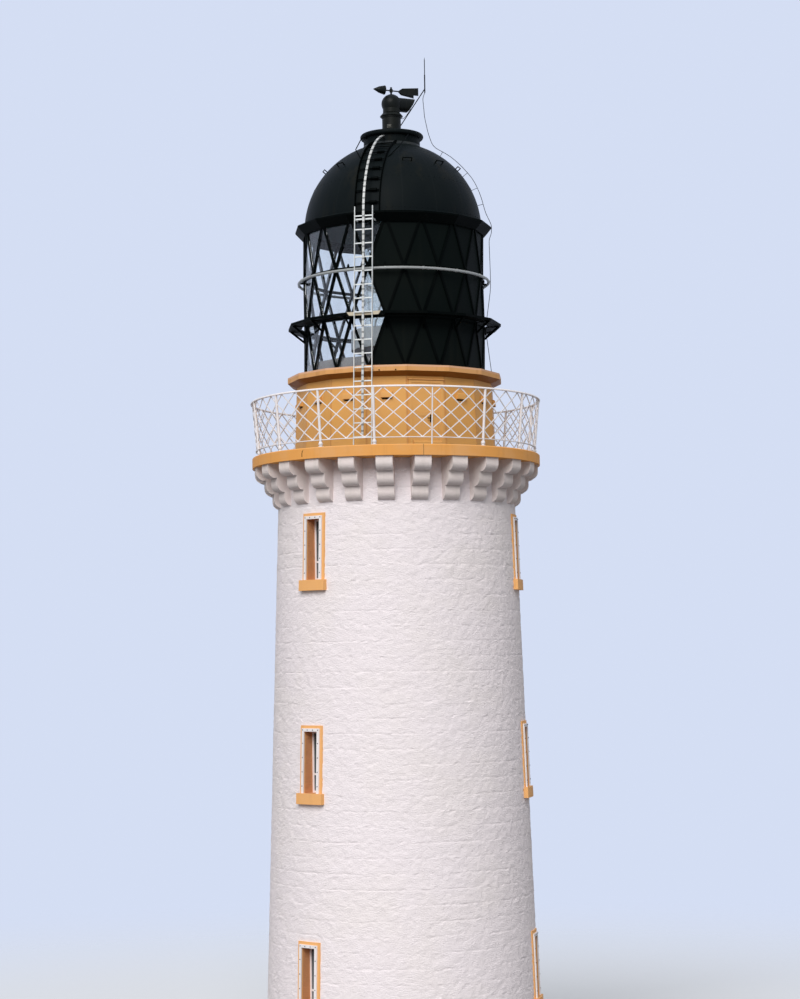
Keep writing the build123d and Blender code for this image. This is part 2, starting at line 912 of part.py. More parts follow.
cornice_radius = glazing_radius + cornice_projection
cornice_top = glazing_top + cornice_thickness
cove_top = cornice_top - cornice_lip
dome_radius = glazing_radius - dome_setback
dome_centre = glazing_top + dome_centre_rise
drum_top = dome_centre + dome_radius + drum_rise
cap_top = drum_top + cap_thickness
neck_top = cap_top + neck_height
collar_top = neck_top + collar_height
ball_centre = collar_top + ball_rise


def dome_height(radius, sphere):
    return above(dome_centre) + sqrt(sphere ** 2 - radius ** 2)


def cove_face(level):
    """Distance of the cornice's face from the axis, at the middle of a side."""
    share = max(0.0, (cove_top - level) / cove_height)
    reach = (cornice_projection - cove_projection) * share
    return (cornice_radius - reach) * side_cosine


def build_cornice():
    cove_foot = cove_top - cove_height
    body = sided_solid([
        (glazing_radius + cove_projection, cove_foot),
        (cornice_radius, cove_top),
        (cornice_radius, cornice_top),
    ], upper_phase)
    skirt = glazing_radius + cove_clearance
    landing = glazing_radius - cornice_landing
    inside = sided_solid([(skirt, cove_foot), (skirt, glazing_top)], upper_phase)
    inside = inside + sided_solid([(landing, glazing_top), (landing, cornice_top)], upper_phase)
    save("dome_cornice", castings(body, inside, cove_foot, cornice_top, upper_phase))


def build_dome():
    inside = dome_radius - dome_thickness
    rise = cornice_top - dome_centre
    slant = cos(radians(45))

    def arc_between(sphere, foot_first):
        foot = (sqrt(sphere ** 2 - rise ** 2), above(cornice_top))
        middle = (sphere * slant, dome_height(sphere * slant, sphere))
        eye = (dome_eye_radius, dome_height(dome_eye_radius, sphere))
        points = [foot, middle, eye] if foot_first else [eye, middle, foot]
        return ThreePointArc(*points)

    outer = arc_between(dome_radius, True)
    inner = arc_between(inside, False)
    outline = make_face([outer, Line(outer @ 1, inner @ 0), inner, Line(inner @ 1, outer @ 0)])
    save("dome_shell", revolve(Plane.XZ * outline, Axis.Z))


def build_ventilator():
    drum_inside = drum_radius - drum_wall
    save("ventilator_drum", turned([
        (drum_inside, dome_height(drum_inside, dome_radius + seat)),
        (drum_radius, dome_height(drum_radius, dome_radius + seat)),
        (drum_radius, above(drum_top)),
        (drum_inside, above(drum_top)),
    ]))
    half_cap = cap_thickness / 2
    rim = (drum_radius + cap_overhang - half_cap, above(drum_top) + half_cap)
    cap_outline = make_face([
        Line((0, above(drum_top)), (rim[0], above(drum_top))),
        CenterArc(rim, half_cap, -90, 180),
        Line((rim[0], above(cap_top)), (0, above(cap_top))),
        Line((0, above(cap_top)), (0, above(drum_top))),
    ])
    save("ventilator_cap", revolve(Plane.XZ * cap_outline, Axis.Z))
    neck_bore = neck_pipe_radius - neck_pipe_wall
    flange = neck_pipe_radius + neck_flange_width
    save("ventilator_neck", turned([
        (neck_bore, above(cap_top)),
        (neck_pipe_radius + neck_foot_width, above(cap_top)),
        (neck_pipe_radius + neck_foot_width, above(cap_top) + neck_pipe_wall),
        (neck_pipe_radius, above(cap_top) + neck_foot_height),
        (neck_pipe_radius, above(neck_top) - neck_flange_height),
        (flange, above(neck_top) - neck_flange_height),
        (flange, above(neck_top)),
        (neck_bore, above(neck_top)),
    ]))
    spindle_bore = spindle_radius + seat
    save("neck_collar", turned([
        (spindle_bore, above(neck_top)),
        (collar_radius, above(neck_top)),
        (collar_radius, above(neck_top) + collar_lip),
        (collar_top_radius, above(collar_top)),
        (spindle_bore, above(collar_top)),
    ]))


# Turning cowl

def cowl_form(thinner, extra):
    """The ball with its throat below and its spout towards +X."""
    throat_bottom = collar_top + turning_gap
    throat_height = ball_centre - throat_bottom
    ball = Pos(0, 0, above(ball_centre)) * Sphere(ball_radius - thinner)
    throat = Pos(0, 0, above(throat_bottom) + throat_height / 2 - extra / 2) * Cylinder(
        throat_radius - thinner, throat_height + extra
    )
    spout = Pos(spout_top_reach / 2 + extra / 2, 0, above(ball_centre)) * Rot(0, 90, 0) * Cylinder(
        spout_radius - thinner, spout_top_reach + extra
    )
    return ball + throat + spout


def build_cowl():
    wind = toward(wind_azimuth)
    centre = above(ball_centre)
    mouth = extrude(Plane.XZ * Polygon(
        (spout_bottom_reach, centre - spout_radius),
        (spout_top_reach, centre + spout_radius),
        (2 * spout_top_reach, centre + spout_radius),
        (2 * spout_top_reach, centre - spout_radius),
        align=None,
    ), amount=ball_radius, both=True)
    spindle_hole = Pos(0, 0, centre + ball_radius) * Cylinder(spindle_radius + seat, ball_radius)
    head = cowl_form(0, 0) - cowl_form(cowl_wall, 2 * cowl_wall) - mouth - spindle_hole
    save("cowl_head", wind * head)
    thrust_bottom = above(collar_top) + seat
    spindle_top = ball_centre + ball_radius + spindle_rise
    save("cowl_spindle", turned([
        (0, above(collar_top) - spindle_socket),
        (spindle_radius, above(collar_top) - spindle_socket),
        (spindle_radius, thrust_bottom),
        (thrust_radius, thrust_bottom),
        (thrust_radius, thrust_bottom + thrust_height),
        (spindle_radius, thrust_bottom + thrust_height),
        (spindle_radius, above(spindle_top)),
        (0, above(spindle_top)),
    ]))
    level = above(spindle_top - arrow_drop)
    hub = Pos(0, 0, level) * Cylinder(arrow_hub_radius, arrow_hub_height)
    rod_front = -(arrow_tip_reach - arrow_head_length)
    rod_length = tail_start + 4 * arrow_rod - rod_front
    rod = Pos(rod_front + rod_length / 2, 0, level) * Rot(0, 90, 0) * Cylinder(arrow_rod, rod_length)
    point = turned([
        (0, 0),
        (arrow_head_radius, 0),
        (arrow_head_radius * arrow_head_fullness, arrow_head_length / 2),
        (arrow_point_radius, arrow_head_length),
        (0, arrow_head_length),
    ])
    point = Pos(rod_front, 0, level) * Rot(0, -90, 0) * point
    bore = Pos(0, 0, level) * Cylinder(spindle_radius + seat, 2 * arrow_hub_height)
    save("wind_arrow", wind * (hub + rod + point - bore))
    plate = Pos(tail_length / 2, 0, 0) * Box(tail_length, tail_plate, tail_height)
    offset = arrow_rod + tail_plate / 2 + seat
    blades = [
        wind * Pos(tail_start, side * offset, level) * Rot(0, 0, side * tail_spread) * plate
        for side in (-1, 1)
    ]
    save("arrow_tail", blades)


# Lantern ladder

ladder_azimuth = lantern_phase - side_step
ladder_foot_radius = glazing_radius + ladder_foot_reach
ladder_head_radius = glazing_radius + ladder_head_reach
ladder_top = glazing_top + ladder_rise
ladder_lean = atan2(ladder_foot_radius - ladder_head_radius, ladder_top)


def ladder_radius(height):
    return ladder_foot_radius + (ladder_head_radius - ladder_foot_radius) * height / ladder_top


def ladder_strip(front, back, low, high):
    """Outline that follows the ladder between two offsets from its middle line."""
    outline = Polygon(
        (ladder_radius(low) - back, above(low)),
        (ladder_radius(low) + front, above(low)),
        (ladder_radius(high) + front, above(high)),
        (ladder_radius(high) - back, above(high)),
        align=None,
    )
    return Plane.XZ * outline


def build_ladder():
    half_depth = stringer_depth / 2 / cos(ladder_lean)
    side = extrude(ladder_strip(half_depth, half_depth, 0, ladder_top), amount=stringer_plate / 2, both=True)
    ladder = Pos(0, -ladder_half_width, 0) * side + Pos(0, ladder_half_width, 0) * side
    rung = Rot(0, -degrees(ladder_lean), 0) * Box(rung_size, 2 * ladder_half_width, rung_size)
    rungs = []
    for index in range(rung_count):
        height = first_rung_height + rung_pitch * index
        rungs.append(Pos(ladder_radius(height), 0, above(height)) * rung)
    save("lantern_ladder", toward(ladder_azimuth) * (ladder + rungs))
    build_ladder_brackets(half_depth)


def build_ladder_brackets(half_depth):
    """Arms from the sole and the cornice to the backs of the stringers."""
    arms = []
    inner_side = ladder_half_width - stringer_plate / 2
    outer_side = ladder_half_width + stringer_plate / 2
    half_arm = ladder_arm_height / 2
    level = glazing_foot - lower_arm_drop
    behind = ladder_radius(level + half_arm) - half_depth - seat
    for side in (-1, 1):
        arm = Polygon(
            (sole_radius - inner_side * side_slope + seat, side * inner_side),
            (behind, side * inner_side),
            (behind, side * outer_side),
            (sole_radius - outer_side * side_slope + seat, side * outer_side),
            align=None,
        )
        arms.append(extrude(Plane.XY.offset(above(level) - half_arm) * arm, amount=ladder_arm_height))
    level = glazing_top - upper_arm_drop
    behind = ladder_radius(level + half_arm) - half_depth - seat
    yoke = Pos(behind - stringer_plate / 2, 0, above(level)) * Box(
        stringer_plate, 2 * outer_side, ladder_arm_height
    )
    for side in (-1, 1):
        arm = Plane.XZ * Polygon(
            (cove_face(level - half_arm) + seat, above(level) - half_arm),
            (behind, above(level) - half_arm),
            (behind, above(level) + half_arm),
            (cove_face(level + half_arm) + seat, above(level) + half_arm),
            align=None,
        )
        plate = extrude(arm, amount=stringer_plate / 2, both=True)
        yoke = yoke + Pos(0, side * ladder_half_width, 0) * plate
    arms.append(yoke)
    save("ladder_brackets", [toward(ladder_azimuth) * arm for arm in arms])
    ledge_face = (glazing_radius + ledge_projection) * side_cosine + seat
    plate_top = ledge_level + ledge_thickness
    plate = Polygon(
        (-step_plate_top / 2, above(plate_top)),
        (step_plate_top / 2, above(plate_top)),
        (step_plate_bottom / 2, above(plate_top) - step_plate_height),
        (-step_plate_bottom / 2, above(plate_top) - step_plate_height),
        align=None,
    )
    plate = Pos(ledge_face, 0, 0) * extrude(Plane.YZ * plate, amount=step_plate_thickness, dir=(1, 0, 0))
    save("ladder_step_plate", toward(ladder_azimuth) * plate)


def drum_envelope():
    return Pos(0, 0, above(drum_top)) * Cylinder(drum_radius + seat, 2 * dome_radius)


def build_arrest_rail():
    """The rail runs up in front of the rungs, then over the dome to the side of the drum."""
    half = arrest_rail_thickness / 2
    offset = rung_size / 2 + seat + half
    lean = Vector(cos(ladder_lean), sin(ladder_lean))
    upward = Vector(-sin(ladder_lean), cos(ladder_lean))
    foot = Vector(ladder_foot_radius, above(0)) + lean * offset
    low = foot + upward * arrest_rail_foot
    high = foot + upward * (ladder_top - arrest_arc_drop)
    bend = dome_radius + arrest_arc_standoff
    centre = high - lean * bend
    start = degrees(ladder_lean)
    drum_reach = drum_radius + seat - centre.X
    outer_end = degrees(acos(drum_reach / (bend + half)))
    inner_end = degrees(acos(drum_reach / (bend - half)))
    outer = CenterArc((centre.X, centre.Y), bend + half, start, outer_end - start)
    inner = CenterArc((centre.X, centre.Y), bend - half, inner_end, start - inner_end)
    low_outer = low + lean * half
    low_inner = low - lean * half
    outline = make_face([
        Line((low_outer.X, low_outer.Y), outer @ 0),
        outer,
        Line(outer @ 1, inner @ 0),
        inner,
        Line(inner @ 1, (low_inner.X, low_inner.Y)),
        Line((low_inner.X, low_inner.Y), (low_outer.X, low_outer.Y)),
    ])
    rail = extrude(Plane.XZ * outline, amount=arrest_rail_width / 2, both=True)
    save("fall_arrest_rail", toward(ladder_azimuth) * rail)


# Ladder, grips and rails on the dome

def on_dome(elevation, radius):
    """Frame on the dome towards +X: X out of the dome, Z up its slope."""
    centre = Pos(0, 0, above(dome_centre))
    return centre * Rot(0, -elevation, 0) * Pos(radius, 0, 0)


def build_dome_ladder():
    side_reach = dome_ladder_half_width - dome_stringer_plate / 2
    inner_radius = sqrt(dome_radius ** 2 - side_reach ** 2) + seat
    outer_radius = inner_radius + dome_stringer_depth
    plate = Circle(outer_radius) - Circle(inner_radius)
    quarter = Pos(outer_radius, outer_radius) * Rectangle(2 * outer_radius, 2 * outer_radius)
    outline = Plane.XZ * Pos(0, above(dome_centre)) * (plate & quarter)
    side = extrude(outline, amount=dome_stringer_plate / 2, both=True)
    below = Pos(0, 0, above(cornice_top) + seat - dome_radius) * Box(
        4 * dome_radius, 4 * dome_radius, 2 * dome_radius
    )
    ladder = Pos(0, -dome_ladder_half_width, 0) * side + Pos(0, dome_ladder_half_width, 0) * side
    ladder = ladder - below - drum_envelope()
    treads = []
    tread_radius = dome_radius + tread_depth / 2 + tread_thickness / 2 + seat
    for index in range(tread_count):
        angle = tread_first_angle + tread_step_angle * index
        level = Rot(0, angle, 0) * Box(tread_depth, 2 * side_reach, tread_thickness)
        treads.append(on_dome(angle, tread_radius) * level)
    save("dome_ladder", toward(ladder_azimuth) * (ladder + treads))


def build_grips():
    half_width = grip_width / 2
    near = half_width - grip_bar / 2
    root = sqrt(dome_radius ** 2 - near ** 2) + seat
    reach = dome_radius + grip_height - root
    leg = Pos(root + reach / 2, 0, 0) * Box(reach, grip_bar, grip_bar)
    bar = Pos(root + reach - grip_bar / 2, 0, 0) * Box(grip_bar, grip_width + grip_bar, grip_bar)
    grip = Pos(0, -half_width, 0) * leg + Pos(0, half_width, 0) * leg + bar
    elevation = degrees(acos(grip_ring_radius / dome_radius))
    azimuths = steps(grip_first_azimuth, grip_count)[1:]
    save("dome_grips", pattern(on_dome(elevation, 0) * grip, azimuths))


def off_dome(angle, spread, standoff):
    """A point at an angle up the dome, beside its ladder and a distance off its skin."""
    reach = sqrt((dome_radius + standoff) ** 2 - spread ** 2)
    return reach * cos(radians(angle)), spread, above(dome_centre) + reach * sin(radians(angle))


def build_grab_rails():
    """Rails from the drum down both sides of the dome ladder."""
    head_level = above(drum_top) - 2 * grab_rail_size
    turn = radians(grab_rail_head_turn)
    root = drum_radius - grab_rail_size
    head = drum_radius + grab_rail_head_reach
    dome = Pos(0, 0, above(dome_centre)) * Sphere(dome_radius + seat)
    rails = []
    for side in (-1, 1):
        path = FilletPolyline(
            (root * cos(turn), side * root * sin(turn), head_level),
            (head * cos(turn), side * head * sin(turn), head_level),
            off_dome(grab_rail_knee_angle, side * grab_rail_knee_spread, grab_rail_knee_standoff),
            off_dome(grab_rail_foot_angle, side * grab_rail_foot_spread, -grab_rail_foot_depth),
            radius=grab_rail_bend,
        )
        rail = sweep(Plane(path @ 0, z_dir=path % 0) * Circle(grab_rail_size), path=path)
        pieces = (rail - drum_envelope() - dome).solids()
        rails.append(toward(ladder_azimuth) * max(pieces, key=lambda piece: piece.volume))
    save("grab_rails", rails)


# Lightning conductor

terminal_foot = neck_top + terminal_foot_rise
terminal_shoulder = terminal_foot + terminal_stem_length
terminal_tip = terminal_shoulder + terminal_rod_length
stay_foot = neck_top - stay_foot_drop
stay_head = terminal_foot + stay_head_rise


def build_air_terminal():
    place = toward(terminal_azimuth)
    stem = turned([
        (0, above(terminal_foot)),
        (terminal_radius, above(terminal_foot)),
        (terminal_radius, above(terminal_shoulder)),
        (terminal_rod_radius, above(terminal_shoulder)),
        (terminal_rod_radius, above(terminal_tip - terminal_point_length)),
        (terminal_point_radius, above(terminal_tip)),
        (0, above(terminal_tip)),
    ])
    save("air_terminal", place * Pos(terminal_reach, 0, 0) * stem)
    foot = Vector(neck_pipe_radius, 0, above(stay_foot))
    head = Vector(terminal_reach, 0, above(stay_head))
    run = head - foot
    root = foot - run.normalized() * 2 * stay_radius
    stay = extrude(Plane(root, z_dir=run) * Circle(stay_radius), amount=(head - root).length)
    middle = above((stay_foot + stay_head) / 2)
    tall = 2 * (stay_head - stay_foot)
    stay = stay - Pos(0, 0, middle) * Cylinder(neck_pipe_radius + seat, tall)
    stay = stay - Pos(terminal_reach, 0, middle) * Cylinder(terminal_radius + seat, tall)
    save("terminal_stay", place * stay)


def beside(reach, level, offsets):
    """Points of a route, given from a radius and a level that they keep to."""
    return [(reach + outward_by, level + up_by) for outward_by, up_by in offsets]


def over_dome(angle, standoff):
    """A point of a route at an angle up the dome and a distance off its skin."""
    reach = dome_radius + standoff
    return reach * cos(radians(angle)), dome_centre + reach * sin(radians(angle))


terminal_run = beside(terminal_reach, terminal_foot, [
    (0, 1), (-45, -110), (-25, -340), (-14, -500), (56, -845)
])
dome_run = [
    over_dome(65.3, 174), over_dome(62.3, 136), over_dome(53.2, 151), over_dome(43.8, 150),
    over_dome(32.3, 163), over_dome(21.8, 138), over_dome(11.3, 122)
]
cornice_run = beside(cornice_radius, glazing_top, [(-30, 200), (4, 110), (4, -40), (-50, -180)])
handrail_run = beside(handrail_radius, glazing_middle, [(40, 125), (41, -175)])
ledge_run = beside(glazing_radius, ledge_level, [(40, 200), (15, 0), (21, -113)])
foot_run = beside(glazing_radius, glazing_foot, [(114, 120), (130, -1)])
conductor_route = terminal_run + dome_run + cornice_run + handrail_run + ledge_run + foot_run
clipped_runs = [6, 8, 9, 10]
bend_share = 0.45
bond_route = beside(neck_pipe_radius, neck_top, [(seat, -40), (55, -38), (102, 7), (204, 160)])


def cord_solid(name, route, radius):
    """A round cord along straight runs joined by the largest tangent arcs."""
    points = [Vector(x, 0, above(z)) for x, z in route]
    bends = []
    for before, corner, after in zip(points, points[1:], points[2:]):
        turn = radians((corner - before).get_angle(after - corner))
        shorter = min((corner - before).length, (after - corner).length)
        bends.append(bend_share * shorter * cos(turn / 2) / sin(turn / 2))
    path = FilletPolyline(*points, radius=bends)
    cord = sweep(Plane(path @ 0, z_dir=path % 0) * Circle(radius), path=path)
    print(name, "smallest bend", round(min(bends)), "mm, length", round(path.length), "mm, volume over",
          "section times length", round(cord.volume / (pi * radius ** 2 * path.length), 4))
    return cord


def build_conductor():
    place = toward(terminal_azimuth)
    conductor = cord_solid("down_conductor", conductor_route, conductor_radius)
    end_block = Box(4 * terminal_radius, 4 * terminal_radius, 4 * terminal_radius)
    upper_end = Pos(terminal_reach, 0, above(terminal_foot) - seat + 2 * terminal_radius) * end_block
    lower_end = Pos(conductor_route[-1][0], 0, above(glazing_foot) + seat - 2 * terminal_radius) * end_block
    save("down_conductor", place * (conductor - upper_end - lower_end))
    save("bond_cable", place * cord_solid("bond_cable", bond_route, bond_radius))
    clips = []
    dome = Pos(0, 0, above(dome_centre)) * Sphere(dome_radius + seat)
    for run in clipped_runs:
        (x, z), (next_x, next_z) = conductor_route[run], conductor_route[run + 1]
        middle = Vector((x + next_x) / 2, 0, above((z + next_z) / 2))
        inward = Vector(next_z - z, 0, x - next_x).normalized()
        start = middle + inward * (conductor_radius + seat)
        stud = extrude(Plane(start, z_dir=inward) * Circle(clip_radius), amount=cornice_projection)
        clips.append(place * (stud - dome))
    save("conductor_clips", clips)


os.makedirs("parts", exist_ok=True)
build_walls()
build_floors()
build_windows()
build_entrance()
build_gallery()
build_railing()
build_base()
build_glazing()
build_ledge()
build_handrail()
build_lens()
build_cornice()
build_dome()
build_ventilator()
build_cowl()
build_ladder()
build_arrest_rail()
build_dome_ladder()
build_grips()
build_grab_rails()
build_air_terminal()
build_conductor()
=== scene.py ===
# %% [markdown]
# A lighthouse, finished for the camera.
# The frame holds every built piece at its real size: walls, floors, castings, glazing and rails.
# This script gives each of them its finish and adds the small things that masons, painters and
# fitters leave behind, such as wall courses, bolts, rivets and hoods. All lengths are in metres.

# %% Load the frame
from math import asin, atan2, cos, degrees, pi, radians, sin, sqrt
import bmesh
import bpy
from mathutils import Matrix, Vector, noise


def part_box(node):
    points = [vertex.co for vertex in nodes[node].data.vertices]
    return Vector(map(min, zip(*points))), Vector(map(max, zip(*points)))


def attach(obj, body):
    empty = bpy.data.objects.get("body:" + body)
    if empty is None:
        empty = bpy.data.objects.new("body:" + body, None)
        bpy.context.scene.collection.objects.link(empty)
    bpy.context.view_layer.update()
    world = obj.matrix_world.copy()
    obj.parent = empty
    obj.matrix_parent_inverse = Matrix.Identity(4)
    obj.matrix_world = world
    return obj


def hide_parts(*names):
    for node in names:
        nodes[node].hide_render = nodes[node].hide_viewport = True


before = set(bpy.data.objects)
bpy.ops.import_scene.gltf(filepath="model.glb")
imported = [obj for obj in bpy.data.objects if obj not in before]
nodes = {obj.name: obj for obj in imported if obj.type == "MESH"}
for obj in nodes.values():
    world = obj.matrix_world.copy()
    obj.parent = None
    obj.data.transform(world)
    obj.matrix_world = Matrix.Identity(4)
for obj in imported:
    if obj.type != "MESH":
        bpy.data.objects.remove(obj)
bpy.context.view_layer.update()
scene = bpy.context.scene
scene.view_settings.view_transform = "Standard"

# %% [markdown]
# The photograph was taken from far away with a long lens, from about the height of the middle
# windows, looking slightly up. A long lens keeps the tower's sides nearly parallel. The tower
# leans a little to the left in the frame, because the camera was rolled, so the roll is part of
# the camera's own turn and the tower itself stays upright.

# %% Camera
camera_distance = 44.0
camera_height = 8.35
camera_offset = 0.068
camera_pitch = radians(4.17)
camera_roll = radians(-0.78)
focal_pixels = 2200.0
frame_height_pixels = 999.0
sensor_size = 36.0

camera_data = bpy.data.cameras.new("viewpoint")
camera_data.sensor_fit = "VERTICAL"
camera_data.sensor_height = sensor_size
camera_data.lens = focal_pixels * sensor_size / frame_height_pixels
camera_data.clip_end = 500.0
camera = bpy.data.objects.new("viewpoint", camera_data)
scene.collection.objects.link(camera)
camera.matrix_world = (
    Matrix.Translation((camera_offset, -camera_distance, camera_height))
    @ Matrix.Rotation(pi / 2 + camera_pitch, 4, "X")
    @ Matrix.Rotation(camera_roll, 4, "Z")
)
scene.camera = camera
print("lens", round(camera_data.lens, 1), "mm")

# %% [markdown]
# Soft daylight comes from the front, a little to the left. A very wide sun wraps round the wall
# as light through thin cloud does, and leaves no hard shadow. A lamp near the tower would light its
# foot more than its head, so a sun is used, which is equally bright everywhere.

# %% Sun
sun_strength = 2.5
sun_angle = radians(40.0)
sun_azimuth = radians(-14.0)
sun_elevation = radians(38.0)
sun_tint = (1.0, 0.98, 0.96)

sun_data = bpy.data.lights.new("soft_sun", "SUN")
sun_data.energy = sun_strength
sun_data.angle = sun_angle
sun_data.color = sun_tint
sun = bpy.data.objects.new("soft_sun", sun_data)
scene.collection.objects.link(sun)
sun.matrix_world = (
    Matrix.Rotation(sun_azimuth, 4, "Z") @ Matrix.Rotation(pi / 2 - sun_elevation, 4, "X")
)
print("sun", sun_strength, "from", round(degrees(sun_elevation)), "degrees up")

# %% [markdown]
# The sky, the floor and every finish are built from shader nodes. In the node editor these would be
# added and wired by hand. A few helpers do the same here: one places a node with its settings and
# wires, one does a sum, one eases a value between two limits, and one blends two shaders.


# %% Node helpers
def place(tree, kind, **settings):
    """A shader node. A name such as in_Scale, or in_0 for the first, sets or wires that input."""
    node = tree.nodes.new("ShaderNode" + kind)
    for key, value in settings.items():
        if not key.startswith("in_"):
            setattr(node, key, value)
            continue
        label = key[3:].replace("_", " ")
        socket = node.inputs[int(label) if label.isdigit() else label]
        if isinstance(value, bpy.types.NodeSocket):
            tree.links.new(value, socket)
        else:
            socket.default_value = (*value, 1.0) if socket.type == "RGBA" else value
    return node


def reckon(tree, operation, *items, clamp=False):
    """A Math node on numbers or on the outputs of other nodes."""
    inputs = {f"in_{index}": item for index, item in enumerate(items)}
    return place(tree, "Math", operation=operation, use_clamp=clamp, **inputs).outputs[0]


def ramp_between(tree, value, low, high, start=0.0, end=1.0):
    """A smooth step of a value between two limits."""
    node = place(tree, "MapRange", interpolation_type="SMOOTHSTEP", in_Value=value,
                 in_From_Min=low, in_From_Max=high, in_To_Min=start, in_To_Max=end)
    return node.outputs["Result"]


def blend_shaders(tree, share, first, second):
    """The output of a Mix Shader node, which shows the second shader by the share."""
    return place(tree, "MixShader", in_0=share, in_1=first, in_2=second).outputs[0]


def ray_mask(tree):
    """1 for rays from the camera, from glossy surfaces and through glass, else 0."""
    path = place(tree, "LightPath")
    seen = reckon(tree, "MAXIMUM", path.outputs["Is Camera Ray"], path.outputs["Is Glossy Ray"])
    return reckon(tree, "MAXIMUM", seen, path.outputs["Is Transmission Ray"])


def surface_place(tree):
    """The place on the surface, in the frame's own metres."""
    return place(tree, "TexCoord").outputs["Object"]


helpers = (place, reckon, ramp_between, blend_shaders, ray_mask, surface_place)
print("helpers:", [helper.__name__ for helper in helpers])

# %% [markdown]
# The sky is brighter above than below, so that undersides such as the corbel noses go dark. The
# pale backdrop and the pale floor are only colours that the camera, mirrors and glass see, so they
# add no light to the tower. The floor fades away before its edge, so that no horizon shows.

# %% Sky
sky_above = 0.55
sky_below = 0.15
sky_edge = 0.22
sky_tint = (0.96, 0.98, 1.0)
backdrop_colour = (0.66, 0.73, 0.90)

world = bpy.data.worlds.new("pale_sky")
world.use_nodes = True
scene.world = world
tree = world.node_tree
tree.nodes.clear()
direction = place(tree, "SeparateXYZ", in_0=place(tree, "TexCoord").outputs["Generated"])
strength = ramp_between(tree, direction.outputs["Z"], -sky_edge, sky_edge, sky_below, sky_above)
sky_light = place(tree, "Background", in_Color=sky_tint, in_Strength=strength).outputs[0]
backdrop = place(tree, "Background", in_Color=backdrop_colour, in_Strength=1.0).outputs[0]
place(tree, "OutputWorld", in_0=blend_shaders(tree, ray_mask(tree), sky_light, backdrop))
print("sky", sky_above, "above and", sky_below, "below")

# %% Floor
floor_radius = 40.0
floor_fade_start = 9.0
floor_fade_end = 34.0
floor_shade = (0.16, 0.16, 0.165)
floor_seen = (0.70, 0.72, 0.76)

bpy.ops.object.select_all(action="DESELECT")
bpy.ops.mesh.primitive_circle_add(vertices=128, radius=floor_radius, fill_type="NGON")
floor = bpy.context.object
floor.name = "studio_floor"
floor_paint = bpy.data.materials.new("studio_floor")
floor_paint.use_nodes = True
tree = floor_paint.node_tree
tree.nodes.clear()
reach = place(tree, "VectorMath", operation="LENGTH", in_0=surface_place(tree))
fade = ramp_between(tree, reach.outputs["Value"], floor_fade_start, floor_fade_end)
lit = place(tree, "BsdfDiffuse", in_Color=floor_shade).outputs[0]
seen = place(tree, "BsdfDiffuse", in_Color=floor_seen).outputs[0]
clear = place(tree, "BsdfTransparent").outputs[0]
top = blend_shaders(tree, ray_mask(tree), lit, seen)
place(tree, "OutputMaterial", in_0=blend_shaders(tree, fade, top, clear))
floor.data.materials.append(floor_paint)
print("floor", 2 * floor_radius, "m across")

# %% [markdown]
# Paint on an exposed tower is never one colour. Seven effects are shared by the finishes, and each
# is a node group that is built once and then placed in each material with its own values. The first
# three are broad patches where the coat has faded, streaks that rain has drawn down the surface, and
# a rough skin of brush marks, pits and lumps.

# %% Patches, streaks and rough skin
patch_edge = (0.42, 0.68)
streak_edge = (0.50, 0.72)
streak_stretch = 0.07
pit_edge = (0.35, 0.65)
light_tone = (0.8, 0.8, 0.8, 1.0)
dark_tone = (0.2, 0.2, 0.2, 1.0)


def new_group(name, inputs, outputs=("Color",)):
    """A node group, the sockets that bring values in, and the sockets that take them out."""
    group = bpy.data.node_groups.new(name, "ShaderNodeTree")
    for label, default in inputs.items():
        kind = "NodeSocketColor" if isinstance(default, tuple) else "NodeSocketFloat"
        group.interface.new_socket(label, in_out="INPUT", socket_type=kind).default_value = default
    for label in outputs:
        kind = "NodeSocketColor" if label == "Color" else "NodeSocketFloat"
        group.interface.new_socket(label, in_out="OUTPUT", socket_type=kind)
    given = group.nodes.new("NodeGroupInput")
    made = group.nodes.new("NodeGroupOutput")
    return group, given.outputs, made.inputs


def noise_node(tree, vector, scale, detail, roughness=0.6):
    node = place(tree, "TexNoise", in_Vector=vector, in_Scale=scale, in_Detail=detail,
                 in_Roughness=roughness)
    return node.outputs["Fac"]


def lay_over(group, given, made, mask, under, over):
    """Put out the upper colour by the mask. The Mix node has its colours on inputs 6 and 7."""
    mixed = place(group, "Mix", data_type="RGBA", in_0=mask, in_6=given[under], in_7=given[over])
    group.links.new(mixed.outputs[2], made["Color"])
    return group


def build_patches():
    group, given, made = new_group("faded_patches", {
        "Paint": light_tone, "Faded": dark_tone, "Scale": 1.0, "Amount": 0.5}, ("Color", "Mask"))
    broad = noise_node(group, surface_place(group), given["Scale"], 6.0)
    mask = reckon(group, "MULTIPLY", ramp_between(group, broad, *patch_edge), given["Amount"])
    group.links.new(mask, made["Mask"])
    return lay_over(group, given, made, mask, "Paint", "Faded")


def build_streaks():
    group, given, made = new_group("rain_streaks", {
        "Under": light_tone, "Streak": dark_tone, "Width": 9.0, "Amount": 0.4})
    drawn = place(group, "Mapping", in_Scale=(1.0, 1.0, streak_stretch), in_Vector=surface_place(group))
    fine = noise_node(group, drawn.outputs[0], given["Width"], 5.0)
    mask = reckon(group, "MULTIPLY", ramp_between(group, fine, *streak_edge), given["Amount"])
    return lay_over(group, given, made, mask, "Under", "Streak")


